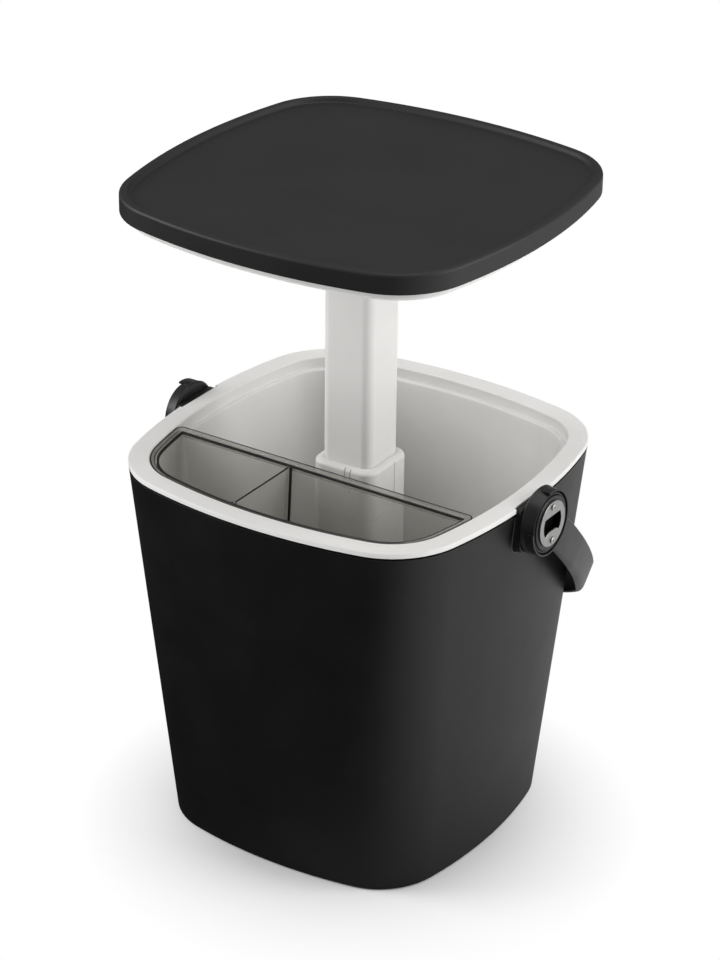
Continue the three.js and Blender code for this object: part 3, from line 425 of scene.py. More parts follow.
baseScrew = {
    "spread": 78, "seat": 8, "seatLow": 1.5, "seatTop": 6.4, "room": 4.8, "roomTop": 3.4, "hole": 2.35}
drain = {
    "height": 48, "outer": 11, "inner": 8, "seat": 19, "tail": 12, "flange": 18, "thick": 3, "gap": 0.4,
    "room": 0.3, "turn": 0.05, "flangeEdge": 1, "innerEdge": 0.5}


def bucketShape(z):
    share = z / bucket["height"]
    return {key: bucket["base"][key] + (bucket["rim"][key] - bucket["base"][key]) * share
            for key in bucket["rim"]}


def bucketRings(levels):
    return [atHeight(bowedSquare(bucketShape(z), inset), z) for inset, z in levels]


def atCorners(name, profile, spread, steps=32):  # the same round body near each corner
    return [place(turned(name, profile, steps), move(x * spread, y * spread)) for _, x, y in corners]


def pocketLoop(margin, top):
    half, bottom, radius = pocket["halfWidth"] + margin, pocket["bottom"] - margin, pocket["corner"] + margin
    loop = [(half, top), (-half, top)]
    for centre, key in ((radius - half, "leftArc"), (half - radius, "rightArc")):
        start, end = [turns * math.pi for turns in pocket[key]]
        loop += arcPoints(centre, bottom + radius, radius, start, end, pocket["arcSteps"])
    return loop


lean = math.atan2(bucket["rim"]["halfWidth"] - bucket["base"]["halfWidth"], bucket["height"])
linerWallIn = liner["inset"] * math.cos(lean)
drainPlace = move(0, bucketShape(drain["height"])["halfWidth"], drain["height"]) @ Matrix.Rotation(
    -(quarterTurn + lean), 4, "X")


def drainCutter(radius, low, high):  # turned a little, so that no edge meets the wall's middle edge
    return place(turned("drainCutter", [(radius, low), (radius, high)], 48),
                 drainPlace @ Matrix.Rotation(drain["turn"], 4, "Z"))


def pocketBead():  # rounded edge of the pocket, which catches the light
    bead = pocket["bead"]
    loop = pocketLoop(0, bucket["shellTop"] - bead["drop"])
    path = []
    for y, z in loop[1:] + loop[:1]:
        shape = bucketShape(z)
        skin = math.sqrt(shape["bow"] ** 2 - y ** 2) - cornerOf(shape)[0]
        path.append(Vector((skin - bead["into"], y, z)))
    rings = []
    for i, at in enumerate(path):
        along = path[min(i + 1, len(path) - 1)] - path[max(i - 1, 0)]
        outward = Vector((0, along.z, -along.y)).normalized()
        rings.append([tuple(at + x * Vector((1, 0, 0)) + y * outward)
                      for x, y in arcPoints(0, 0, bead["radius"], 0, 2 * math.pi, bead["steps"])])
    return loft("pocketBead", rings)


def makeShell():
    wall, edge, top, topEdge = pick(bucket, "wall bottomEdge shellTop topEdge")
    levels = edgeArc(edge, edge, edge, -90, 0, 8)
    levels += [(0, z) for z in bucket["bands"]]
    levels += edgeArc(topEdge, top - topEdge, topEdge, 0, 90, 4)
    levels += [(wall, top), (wall, bucket["innerBand"])]
    levels += edgeArc(wall + edge, wall + edge, edge, 0, -90, 4)
    shell = loft("outerShell", bucketRings(levels))
    within = edgeArc(edge + wall / 2, edge, edge, -90, 0, 8) + [(wall / 2, top - pocket["tubDrop"])]
    for turn in bothTurns:
        loop = pocketLoop(wall, top + pocket["tubOver"])
        tub = plate("tub", [loop], pocket["floor"] - wall, pocket["reach"])
        combine(place(tub, turn), "INTERSECT", [loft("within", bucketRings(within))])
        fuse(shell, tub)
        loop = pocketLoop(0, top + pocket["hollowOver"])
        carve(shell, place(plate("hollow", [loop], pocket["floor"], pocket["reach"] + past), turn))
    room, roomTop, hole, seatTop = pick(baseScrew, "room roomTop hole seatTop")
    seat = [(baseScrew["seat"], baseScrew["seatLow"]), (baseScrew["seat"], seatTop)]
    bore = [(room, -past), (room, roomTop), (hole, roomTop), (hole, seatTop + past)]
    fuse(shell, *atCorners("seat", seat, baseScrew["spread"], 48))
    return carve(shell, *atCorners("bore", bore, baseScrew["spread"], 48),
                 drainCutter(drain["outer"] + drain["room"], -linerWallIn - past, past))


outerShell = piece(makeShell(), "bucket", shellPlastic, "black_plastic", "outer_shell")
for turn in bothTurns:
    # the pocket's rounded bead, coloured lighter as a painted highlight
    addPart(outerShell, place(pocketBead(), turn), highlightPlastic)
# painted shadow: the shell's top face below the rim takes the darker black
lookWhere(outerShell, shadePlastic,  # the shadow line below the rim
          lambda at, normal: at.z > bucket["shellTop"] - bucket["shadowDrop"] and normal.z > 0.5)
print("stage: shell")


def bothSides(name, x, deep, half, low, high):  # the same box on the right and on the left
    return [box(name, (start, -half, low), (start + deep, half, high)) for start in (x, -x - deep)]


def makeLiner():
    wall, top = bucket["wall"], bucket["height"]
    edge, inset, width, radius = pick(liner, "edge inset rimWidth round")
    rib, step, ledge, ledgeEdge, lipEdge = pick(liner, "rib step ledge ledgeEdge lipEdge")
    levels = edgeArc(inset - wall + edge, liner["floor"] - wall + edge, edge, -90, 0, 6)
    levels += [(inset - wall, liner["under"] - wall), (width - wall, ledge - wall)]
    levels += [(width - wall, top - wall), (rib["inner"], top - wall), (rib["inner"], rib["low"])]
    levels += [(rib["outer"], rib["low"]), (rib["outer"], liner["lip"])]
    levels += edgeArc(lipEdge, liner["lip"] + lipEdge, lipEdge, -90, 0, 3)
    levels += edgeArc(radius, top - radius, radius, 0, 90, 5)
    levels += edgeArc(width - radius, top - radius, radius, 90, 180, 5)
    levels += edgeArc(width + ledgeEdge, ledge + ledgeEdge, ledgeEdge, 0, -90, 3)
    levels += edgeArc(inset - step["inset"], ledge - step["edge"], step["edge"], 90, 180, 3)
    levels += [(inset, z) for z in (liner["under"], *liner["bands"])]
    levels += edgeArc(inset + edge, liner["floor"] + edge, edge, 0, -90, 8)
    bowl = loft("innerLiner", bucketRings(levels))
    x, deep, half, low, drop = pick(liner["relief"], "x deep half low drop")
    cuts = bothSides("relief", x, deep, half, low, liner["lip"] - drop)
    x, deep, low = pick(liner["notch"], "x deep low")
    cuts += bothSides("notch", x, deep, pocket["halfWidth"], low, top + past)
    return carve(bowl, drainCutter(drain["outer"] + drain["room"], -linerWallIn - past, past),
                 drainCutter(drain["seat"], -linerWallIn - drain["tail"], -linerWallIn), *cuts)


piece(makeLiner(), "bucket", greyPlastic, "grey_plastic", "inner_liner")
print("stage: liner")

# Table top and the plate under it

table = {
    "shape": {"halfWidth": 200.5, "bow": 572, "corner": 80}, "top": 686, "surface": 681.4, "under": 678.4,
    "fillet": 3, "skirtBottom": 666, "skirtWall": 3.5, "skirtEdge": 1, "crest": 3.5, "crestEnd": 6.5,
    "fall": 4.5, "fallSteps": 8, "field": 4}


def tableRings(levels):
    return [atHeight(bowedSquare(table["shape"], inset), z) for inset, z in levels]


def makeTop():
    top, surface, under, fillet = pick(table, "top surface under fillet")
    edge, crest, crestEnd, fall = pick(table, "skirtEdge crest crestEnd fall")
    levels = edgeArc(table["skirtWall"] + fillet, under - fillet, fillet, 90, 0, 4)
    levels += [(table["skirtWall"], table["skirtBottom"])]
    levels += edgeArc(edge, table["skirtBottom"] + edge, edge, -90, 0, 4)
    levels += edgeArc(crest, top - crest, crest, 0, 90, 8)
    for i in range(table["fallSteps"] + 1):
        share = i / table["fallSteps"]
        rise = (top - surface) * (1 + math.cos(math.pi * share)) / 2
        levels.append((crestEnd + fall * share, surface + rise))
    levels += [(crestEnd + fall + table["field"], surface)]
    return loft("tableTop", tableRings(levels))


piece(makeTop(), "table", topPlastic, "charcoal_plastic", "table_top")

postHead = {"halfX": 50, "halfY": 50, "corner": 12}
underPlate = {
    "bottom": 656, "gap": 0.3, "inset": 10, "edge": 3, "wall": 3, "chamfer": 3,
    "boss": {"wider": 4, "overlap": 1, "top": 663.6}, "recess": {"wider": 0.4, "top": 660.6},
    "screw": {"spread": 118, "room": 4.8, "seat": 658.3, "hole": 2.35}}


def block(name, shape, wider, low, high):
    outline = roundedBox({key: value + wider for key, value in shape.items()})
    return loft(name, [atHeight(outline, low), atHeight(outline, high)])


def screwHoles(screw, low, high):  # room for each head from below, then the hole for its shank
    spread, room, seat, hole = pick(screw, "spread room seat hole")
    return atCorners("hole", [(room, low), (room, seat), (hole, seat), (hole, high)], spread)


def makePlate():
    bottom, inset, edge, wall = pick(underPlate, "bottom inset edge wall")
    top, boss, recess = table["under"] - underPlate["gap"], underPlate["boss"], underPlate["recess"]
    levels = edgeArc(inset + edge, bottom + edge, edge, -90, 0, 6)
    levels += [(inset, top - underPlate["chamfer"]), (inset + wall, top), (inset + wall, bottom + wall)]
    dish = loft("underPlate", tableRings(levels))
    fuse(dish, block("field", postHead, boss["wider"], bottom + boss["overlap"], boss["top"]))
    holes = screwHoles(underPlate["screw"], bottom - past, bottom + wall + past)
    return carve(dish, block("recess", postHead, recess["wider"], bottom - past, recess["top"]), *holes)


piece(makePlate(), "table", greyPlastic, "grey_plastic", "under_plate")
print("stage: table top")

# Post, sleeve and collar

post = {
    "shape": {"halfX": 28.2, "halfY": 28.2, "corner": 10}, "wall": 3, "bottom": 292, "bands": (420, 540),
    "headBottom": 656.3, "headEdge": 0.5, "top": 660.3,
    "screw": {"spread": 40, "room": 3.8, "seat": 658.3, "hole": 1.75}}
sleeve = {
    "shape": {"halfX": 36, "halfY": 36, "corner": 15}, "wall": 3, "bottom": 23.3, "band": 200, "seam": 340,
    "seamEdge": 0.5, "foot": {"halfX": 58, "halfY": 58, "corner": 16}, "footThick": 4, "footEdge": 1,
    "fillet": ((-2, 0), (-0.6, 0.6), (0, 2)), "screw": {"spread": 47, "hole": 2.35},
    "waterWay": {"x": 40, "y": 9, "high": 8}}


def boxRings(shape, levels):
    return [atHeight(roundedBox(shape, inset), z) for inset, z in levels]


def makePost():
    wall, bottom, low, edge = pick(post, "wall bottom headBottom headEdge")
    rings = boxRings(post["shape"], [(wall, low - wall), (wall, bottom), (0, bottom),
                                     *((0, z) for z in post["bands"]), (0, low)])
    rings += boxRings(postHead, [(edge, low), (0, low + edge), (0, post["top"])])
    return carve(loft("innerPost", rings), *screwHoles(post["screw"], low - past, post["top"] + past))


piece(makePost(), "table", greyPlastic, "grey_plastic", "inner_post")


def makeSleeve():
    wall, low, high = sleeve["wall"], sleeve["bottom"], sleeve["bottom"] + sleeve["footThick"]
    footEdge, seam, seamEdge, way = pick(sleeve, "footEdge seam seamEdge waterWay")
    rings = boxRings(sleeve["foot"], [(0, low), (0, high - footEdge), (footEdge, high)])
    rings += boxRings(sleeve["shape"], [(inset, high + rise) for inset, rise in sleeve["fillet"]] + [
        (0, sleeve["band"]), (0, seam - seamEdge), (seamEdge, seam), (wall, seam), (wall, low)])
    made = loft("postSleeve", rings, looped=True)
    hole, spread = pick(sleeve["screw"], "hole spread")
    holes = atCorners("hole", [(hole, low - past), (hole, high + past)], spread, 24)
    waterWay = box("waterWay", (-way["x"], -way["y"], high), (way["x"], way["y"], high + way["high"]))
    return carve(made, waterWay, *holes)


piece(makeSleeve(), "bucket", greyPlastic, "grey_plastic", "post_sleeve")

collar = {
    "bottom": 324, "seam": 340.3, "seamEdge": 0.5, "top": 395, "shoulder": 5, "shoulderSteps": 8, "flat": 0.4,
    "plug": 3.3, "guide": {"halfX": 28.6, "halfY": 28.6, "corner": 10.4},
    "tab": {"middle": 8.5, "half": 3.2, "slot": 0.9, "deep": 2.7, "low": 369},
    "line": {"y": 7, "width": 0.8, "deep": 0.8}}


def makeCollar():
    tube = sleeve["shape"]
    guide, seam, top, tab, line = pick(collar, "guide seam top tab line")
    plug, edge, shoulder, steps = pick(collar, "plug seamEdge shoulder shoulderSteps")
    width = tube["halfY"] - guide["halfY"] - collar["flat"]
    levels = [(plug, collar["bottom"]), (plug, seam), (edge, seam), (0, seam + edge)]
    for i in range(steps + 1):
        angle = quarterTurn * i / steps
        levels.append((width * (1 - math.cos(angle)), top - shoulder * (1 - math.sin(angle))))
    rings = boxRings(tube, levels) + boxRings(guide, [(0, top), (0, collar["bottom"])])
    made = loft("postCollar", rings, looped=True)
    front, side = -tube["halfY"], tube["halfX"]
    slots = []
    for end in (-1, 1):
        middle = tab["middle"] + end * tab["half"]
        slots.append(box("slot", (middle - tab["slot"] / 2, front - past, tab["low"]),
                         (middle + tab["slot"] / 2, front + tab["deep"], top + past)))
    groove = box("line", (side - line["deep"], line["y"], seam - past),
                 (side + past, line["y"] + line["width"], top + past))
    return carve(made, *slots, groove)


piece(makeCollar(), "bucket", greyPlastic, "grey_plastic", "post_collar")
print("stage: post")

# Tray and divider

tray = {
    "inset": 21.4, "back": 64.5, "backCorner": 7, "rimTop": 403.2, "rimWall": 1.6, "flangeTop": 401.4,
    "flange": 7.2, "wall": 2, "depth": 76, "edge": 6, "taper": 5, "foot": 392.3, "lip": 0.5, "wellEdge": 0.8,
    "brink": {"margin": 1.3, "slope": 0.3, "front": 3.4, "drop": 0.25, "low": 399.6, "from": 140, "over": 15},
    "groove": {"inset": 4.3, "half": 0.45, "deep": 0.5, "x": -118, "y": -77},
    "dark": {"low": 399.55, "drop": 0.02, "rimDrop": 0.25}}
divider = {
    "x": -34, "half": 1.1, "top": 400.8, "gap": 0.3, "endGap": 0.8, "chamfer": 2, "edge": 0.4,
    "rib": 1.6, "ribDepth": 2.5, "ribRoot": 1, "dark": {"wide": 2, "y": -80, "rise": 1, "drop": 0.5}}


def trayOutline(level):
    inset, z = level
    shape = bucketShape(z)
    reach, centre, turn = cornerOf(shape)
    into = tray["inset"] + inset
    radius = shape["bow"] - into
    rounding = max(tray["backCorner"] - inset, tray["wall"])
    backY = -tray["back"] - inset
    sideEnd = math.asin((tray["back"] + inset + rounding) / radius)
    sideX = radius * math.cos(sideEnd) - reach
    right = arcPoints(0, reach, radius, -quarterTurn, -quarterTurn + turn, 8)
    right += arcPoints(centre, -centre, shape["corner"] - into, -quarterTurn + turn, -turn, 14)
    right += arcPoints(-reach, 0, radius, -turn, -sideEnd, 4)
    right += arcPoints(sideX - rounding, backY - rounding, rounding, 0, quarterTurn, 8)
    right.append((sideX - rounding, backY))
    left = [(-x, y) for x, y in reversed(right[1:])]
    return atHeight(right + left, z)


def trayInner(z):
    return tray["rimWall"] + tray["flange"] + tray["taper"] * (tray["flangeTop"] - z) / tray["depth"]


def trayFaces(z):  # the well's front and back where the divider meets them
    inset, shape = trayInner(z), bucketShape(z)
    radius = shape["bow"] - tray["inset"] - inset
    front = shape["bow"] - shape["halfWidth"] - math.sqrt(radius ** 2 - divider["x"] ** 2)
    return {"front": front, "back": -tray["back"] - inset}


def grooveRing(inset):  # the groove runs along the left of the flange only
    groove = tray["groove"]
    return [(x, y, z - groove["deep"] if x < groove["x"] and y < groove["y"] else z)
            for x, y, z in trayOutline((inset, tray["flangeTop"]))]


def brinkRing(closer, drop):  # brink of the well, painted dark as shade, broader along the front
    brink, flange = tray["brink"], tray["flangeTop"]
    end = trayInner(flange) - tray["wellEdge"] - closer
    near, far = trayOutline((end, flange)), trayOutline((end - brink["front"], flange))
    ring = []
    for (x0, y0, z), (x1, y1, _) in zip(near, far):
        share = min(max((-y0 - brink["from"]) / brink["over"], 0), 1)
        ring.append((x0 + (x1 - x0) * share, y0 + (y1 - y0) * share, z - drop))
    return ring


def trayRib(face, inward, side):  # one of the ribs that hold the divider
    low, top = tray["flangeTop"] - tray["depth"] + tray["edge"], divider["top"]
    near = divider["x"] + side * (divider["half"] + divider["gap"])
    far = near + side * divider["rib"]
    loop = [(trayFaces(z)[face] + inward * depth, z) for z, depth in (
        (low, -divider["ribRoot"]), (top, -divider["ribRoot"]), (top, divider["ribDepth"]),
        (low, divider["ribDepth"]))]
    return plate("rib", [loop], min(near, far), max(near, far))


def makeTray():
    wall, edge, lip, groove, brink = pick(tray, "wall edge lip groove brink")
    flange, rimTop, rimWall, foot, rounded = pick(tray, "flangeTop rimTop rimWall foot wellEdge")
    floor = flange - tray["depth"]
    floorInset = trayInner(floor)
    levels = edgeArc(floorInset - wall + edge, floor - wall + edge, edge, -90, 0, 5)
    levels += [(trayInner(flange) - wall, flange - wall), (rimWall, flange - wall)]
    levels += [(rimWall, foot), (0, foot)]
    levels += edgeArc(lip, rimTop - lip, lip, 0, 90, 3)
    levels += edgeArc(rimWall - lip, rimTop - lip, lip, 90, 180, 3)
    levels += edgeArc(rimWall + rounded, flange + rounded, rounded, 0, -90, 3)
    rings = [trayOutline(level) for level in levels]
    rings += [trayOutline((groove["inset"] - groove["half"], flange)), grooveRing(groove["inset"]),
              trayOutline((groove["inset"] + groove["half"], flange))]
    rings += [brinkRing(brink["margin"], 0), brinkRing(brink["margin"] - brink["slope"], brink["drop"])]
    levels = edgeArc(trayInner(flange) - rounded, flange - brink["drop"] - rounded, rounded, 90, 180, 3)
    levels += [(trayInner(brink["low"]), brink["low"])]
    levels += edgeArc(floorInset + edge, floor + edge, edge, 0, -90, 5)
    body = loft("condimentTray", rings + [trayOutline(level) for level in levels])
    return fuse(body, *(trayRib(face, inward, side) for side in (-1, 1)
                        for face, inward in (("front", 1), ("back", -1))))


def trayDark(at, normal):  # painted shade on the top of the rim, the rib at the divider's far end, brink and groove
    dark, rib = tray["dark"], divider["dark"]
    if at.z > tray["rimTop"] - dark["rimDrop"]:
        return True
    aside = at.x - divider["x"] - divider["half"]
    if 0 < aside < rib["wide"] and at.y > rib["y"] and at.z < divider["top"] + rib["rise"]:
        return True
    return dark["low"] < at.z < tray["flangeTop"] - dark["drop"] and normal.z > -0.5


# the tray, with painted shade on its dark lines
lookWhere(piece(makeTray(), "tray", trayPlastic, "smoke_plastic", "condiment_tray"), trayShade, trayDark)


def makeDivider():
    floor = tray["flangeTop"] - tray["depth"]
    low, edge, top = floor + divider["gap"], floor + tray["edge"], divider["top"]
    gap, chamfer = divider["endGap"], divider["chamfer"]
    (backLow, frontLow), (backHigh, frontHigh) = [
        (trayFaces(z)["back"], trayFaces(z)["front"]) for z in (edge, top)]
    loop = [(backLow - tray["edge"], low), (backLow - gap, edge)]
    loop += [(backHigh - gap, top - chamfer), (backHigh - gap - chamfer, top)]
    loop += [(frontHigh + gap + chamfer, top), (frontHigh + gap, top - chamfer)]
    loop += [(frontLow + gap, edge), (frontLow + tray["edge"], low)]
    return plate("trayDivider", [loop], divider["x"] - divider["half"], divider["x"] + divider["half"],
                 divider["edge"])


# painted shade along the top of the divider
lookWhere(piece(makeDivider(), "divider", trayPlastic, "smoke_plastic", "tray_divider"), trayShade,
          lambda at, normal: at.z > divider["top"] - divider["dark"]["drop"] and normal.z > 0.1)
print("stage: tray")

# Brackets, hub caps and bottle opener

bracket = {
    "margin": -1.5, "back": 189.3, "face": 203.6, "edge": 1.2, "top": 398.2, "noseBack": 196.3,
    "noseTop": 403.5, "noseCorner": 5, "noseEdge": 0.8, "hub": 22, "hubStart": 200.6, "hubEnd": 212}
cap = {"radius": 28.1, "back": 212.3, "face": 219.9, "edge": 1, "mouthGap": 0.8, "pit": 6,
       "dark": {"margin": 1.2, "drop": 0.5}}
opener = {
    "radius": 23.4, "back": 220.1, "face": 221.7, "edge": 0.45, "mouth": 16.4, "top": 8.7, "bottom": 10.4,
    "tooth": 7.3, "toothHalf": 7, "screwSpread": 17.8, "screwHole": 1.9}
atPivot = move(0, 0, pivotHeight)


def circle(radius, steps=72, start=0.0, end=2 * math.pi):
    return arcPoints(0, 0, radius, start, end, steps)


def mouthLoop(margin):
    radius, top, bottom = opener["mouth"] + margin, opener["top"] + margin, opener["bottom"] + margin
    tooth, half = opener["tooth"] + margin, opener["toothHalf"] - margin
    start, end = math.asin(top / radius), -math.asin(bottom / radius)
    loop = [(-radius * math.cos(start), top)]
    loop += circle(radius, 12, start, end)
    loop += [(radius * math.cos(end), -bottom), (half, -tooth), (-half, -tooth)]
    loop += circle(radius, 12, math.pi - end, math.pi - start)
    return loop


def makeBracket(name):
    margin, face, top, radius, hub = pick(bracket, "margin face noseTop noseCorner hub")
    body = plate(name, [pocketLoop(margin, bracket["top"])], bracket["back"], face, bracket["edge"])
    half = pocket["halfWidth"] + margin
    outline = [(-half, pivotHeight), (half, pivotHeight), (half, top - radius)]
    outline += arcPoints(half - radius, top - radius, radius, 0, quarterTurn, 6)
    outline += arcPoints(-half + radius, top - radius, radius, quarterTurn, math.pi, 6)
    outline += [(-half, top - radius)]
    nose = plate("nose", [outline], bracket["noseBack"], face, bracket["noseEdge"])
    profile = [(hub, bracket["hubStart"]), (hub, bracket["hubEnd"])]
    return fuse(body, nose, place(turned("hub", profile), atPivot @ alongX))


def makeCap(name, mouth):
    radius, edge, face = cap["radius"], cap["edge"], cap["face"]
    profile = [(radius, cap["back"])]
    profile += [(radius - edge + x, face - edge + z)
                for x, z in arcPoints(0, 0, edge, 0, quarterTurn * 6 / 5, 6)]
    disc = place(turned(name, profile, 96), alongX)
    if mouth:
        carve(disc, plate("mouth", [mouthLoop(cap["mouthGap"])], face - cap["pit"], face + past))
    return disc


def makeOpener():
    holes = [[(a, b + end * opener["screwSpread"]) for a, b in circle(opener["screwHole"], 24)]
             for end in (-1, 1)]
    return plate("openerPlate", [circle(opener["radius"], 96), mouthLoop(0), *holes], opener["back"],
                 opener["face"], opener["edge"])


# painted shade: the faces inside the opener's mouth on the right cap
def inPit(at, normal):
    sideways = math.hypot(at.y, at.z - pivotHeight)
    return sideways < opener["mouth"] + cap["dark"]["margin"] and at.x < cap["face"] - cap["dark"]["drop"]


piece(makeBracket("bracketRight"), "bucket", handlePlastic, "black_plastic", "bracket_right")
piece(place(makeBracket("bracketLeft"), halfTurn), "bucket", handlePlastic, "black_plastic", "bracket_left")
# the right cap, with painted shade in its mouth
lookWhere(piece(place(makeCap("hubCapRight", True), atPivot), "bucket", handlePlastic, "black_plastic",
                "hub_cap_right"), shadePlastic, inPit)
piece(place(makeCap("hubCapLeft", False), atPivot @ halfTurn), "bucket", handlePlastic, "black_plastic",
      "hub_cap_left")
piece(place(makeOpener(), atPivot), "bucket", openerSteel, "steel", "opener_plate")

# Screws, low round heads with a cross recess

small = {"shank": 1.6, "head": 3.4, "height": 1.6}
large = {"shank": 2.2, "head": 4.4, "height": 2}
screws = {
    "openerScrew": {"node": "opener_screw", "length": 16.7, "seat": opener["face"] + 0.25, **small},
    "capScrew": {"node": "cap_screw_left", "length": 14.8, "seat": cap["face"] + 0.15, **small},
    "plateScrew": {"node": "plate_screw", "length": 13.9, "seat": 658.15, **large},
    "headScrew": {"node": "head_screw", "length": 9.9, "seat": 658.15, **small}}
dome = {"riseShare": 0.35, "angles": (0.3, 0.6, 0.9, 1.2)}
cross = {"wideShare": 0.55, "deepShare": 0.6, "half": 0.4}


def addScrew(name, body, where, suffix):
    length, shank, head, height, node = pick(screws[name], "length shank head height node")
    rise = height * dome["riseShare"]
    profile = [(hair, -length), (shank, -length), (shank, 0), (head, 0), (head, height - rise)]
    profile += [(head * math.cos(a), height - rise + rise * math.sin(a)) for a in dome["angles"]]
    profile += [(hair, height)]
    wide, half, low = head * cross["wideShare"], cross["half"], height - height * cross["deepShare"]
    slots = [box("slot", (-x, -y, low), (x, y, height + past)) for x, y in ((wide, half), (half, wide))]
    screw = carve(turned(name, profile, 36), fuse(*slots))
    piece(place(screw, where), body, zincSteel, "steel", f"{node}_{suffix}")


for row, end in (("lower", -1), ("upper", 1)):
    z = pivotHeight + end * opener["screwSpread"]
    addScrew("openerScrew", "bucket", move(screws["openerScrew"]["seat"], 0, z) @ alongX, row)
    addScrew("capScrew", "bucket", halfTurn @ move(screws["capScrew"]["seat"], 0, z) @ alongX, row)
for corner, x, y in corners:
    for name, holder in (("plateScrew", underPlate), ("headScrew", post)):
        spread = holder["screw"]["spread"]
        addScrew(name, "table", move(x * spread, y * spread, screws[name]["seat"]) @ upsideDown, corner)
print("stage: pivots")

# Handle

strap = {
    "thick": 4, "gripThick": 7, "half": 18.2, "outerRound": 0.62, "upperRound": 0.5, "innerRound": 0.36,
    "fall": 4.5, "fallShare": 2.6, "face": 218, "start": 24, "armBow": 545, "armY": 10, "grip": 234.5,
    "gripY": 53, "crease": 25, "rest": 43}
eye = {
    "back": 204, "face": 218.5, "backRadius": 34.5, "faceRadius": 30.5, "chamfer": 1.8, "step": 2.2,
    "bore": 22.4, "capBore": 28.5, "capBack": 212, "outerEdge": {"out": 0.5, "in": 0.4, "drop": 1},
    "innerEdge": {"out": 0.3, "drop": 0.4}, "lipInner": 31.8, "lipOuter": 33.8, "lipBack": 210,
    "lipFace": 219.7, "lipEdge": 0.4, "lipEnds": (140, -137), "room": 0.7}


def strapPath():  # outer face in plan: bowed arm, rounded crease, round grip
    bow, bowY, crease, grip, gripY = pick(strap, "armBow armY crease grip gripY")
    bowX = strap["face"] - bow
    apart = math.hypot(bowX, gripY - bowY)
    armReach, gripReach = bow - crease, grip - crease
    along = (apart ** 2 + armReach ** 2 - gripReach ** 2) / (2 * apart)
    armEnd = math.atan2(gripY - bowY, -bowX) + math.acos(along / armReach)
    creaseX, creaseY = bowX + armReach * math.cos(armEnd), bowY + armReach * math.sin(armEnd)
    gripStart = math.atan2(creaseY - gripY, creaseX)
    right = arcPoints(bowX, bowY, bow, math.asin((strap["start"] - bowY) / bow), armEnd, 16)
    right += arcPoints(creaseX, creaseY, crease, armEnd, gripStart, 8)
    right += arcPoints(0, gripY, grip, gripStart, quarterTurn, 30)
    right.append((0, gripY + grip))
    return right + [(-x, y) for x, y in reversed(right[:-1])]


def strapSection(reach):  # thin at the eyes, thick from the crease on, its lower outer edge well rounded
    share = (reach - strap["start"]) / (strap["gripY"] + strap["grip"] / 2 - strap["start"])
    share = min(max(share, 0), 1)
    share = share * share * (3 - 2 * share)
    thick, half = strap["thick"] + (strap["gripThick"] - strap["thick"]) * share, strap["half"]
    outer, upper, inner = [strap[key] * thick for key in ("outerRound", "upperRound", "innerRound")]
    broad = outer + strap["fall"] * min(share * strap["fallShare"], 1)
    section = []
    for quarter, (cx, cy, deep, wide) in enumerate([
            (-outer, half - broad, outer, broad), (inner - thick, half - inner, inner, inner),
            (inner - thick, inner - half, inner, inner), (-upper, upper - half, upper, upper)]):
        start = quarter * quarterTurn
        section += [(cx + deep * x, cy + wide * y)
                    for x, y in arcPoints(0, 0, 1, start, start + quarterTurn * 5 / 4, 5)]
    return section


def makeStrap():
    path = strapPath()
    rings = []
    for i, (x, y) in enumerate(path):
        before, after = path[max(i - 1, 0)], path[min(i + 1, len(path) - 1)]
        step = Vector((after[0] - before[0], after[1] - before[1])).normalized()
        rings.append([(x + step.y * out, y - step.x * out, -across) for out, across in strapSection(y)])
    return loft("handle", rings)


def makeEye():
    bore, back, face, capBore, capBack = pick(eye, "bore back face capBore capBack")
    wide, chamfer, outside, inside = pick(eye, "backRadius chamfer outerEdge innerEdge")
    profile = [(bore, back), (wide - chamfer, back), (wide, back + chamfer), (wide, back + eye["step"]),
               (eye["faceRadius"] + outside["out"], face - outside["drop"]),
               (eye["faceRadius"] - outside["in"], face), (capBore + inside["out"], face),
               (capBore, face - inside["drop"]), (capBore, capBack), (bore, capBack)]
    drum = place(turned("eye", profile, 96, closed=True), alongX)
    start, end = [math.radians(a) for a in eye["lipEnds"]]
    lip = []
    for key, first, last in (("lipOuter", end, start), ("lipInner", start, end)):
        lip += circle(eye[key], 60, first, last) + [(eye[key] * math.cos(last), eye[key] * math.sin(last))]
    return fuse(drum, plate("lip", [lip], eye["lipBack"], eye["lipFace"], eye["lipEdge"]))


def makeHandle():
    left = place(makeEye(), Matrix.Scale(-1, 4, (1, 0, 0)))
    left.data.flip_normals()
    handle = makeStrap()
    radius = eye["capBore"] + eye["room"]
    for turn in bothTurns:
        room = turned("room", [(radius, eye["capBack"] - past), (radius, eye["face"] + past)], 90)
        carve(handle, place(room, turn @ alongX))
    fuse(handle, makeEye(), left)
    return place(handle, atPivot @ Matrix.Rotation(-math.radians(strap["rest"]), 4, "X"))


piece(makeHandle(), "handle", handlePlastic, "black_plastic", "handle")
print("stage: handle")

# Drain

flangeFace = drain["gap"] + drain["thick"]
plug = {"radius": 7.7, "head": 13, "headHeight": 5, "length": 22, "gap": 0.3, "tip": 1,
        "edge": ((0, -1.2), (-0.4, -0.4), (-1.2, 0)), "dish": (3.5, 4.5), "dishDepth": 1}


def makeBush():
    inner, outer, flange, gap, edge, innerEdge = pick(drain, "inner outer flange gap flangeEdge innerEdge")
    tail = -linerWallIn - drain["tail"]
    profile = [(inner, tail), (outer, tail), (outer, gap), (flange, gap), (flange, flangeFace - edge),
               (flange - edge, flangeFace), (inner + innerEdge, flangeFace), (inner, flangeFace - innerEdge)]
    return place(turned("drainBush", profile, 72, closed=True), drainPlace)


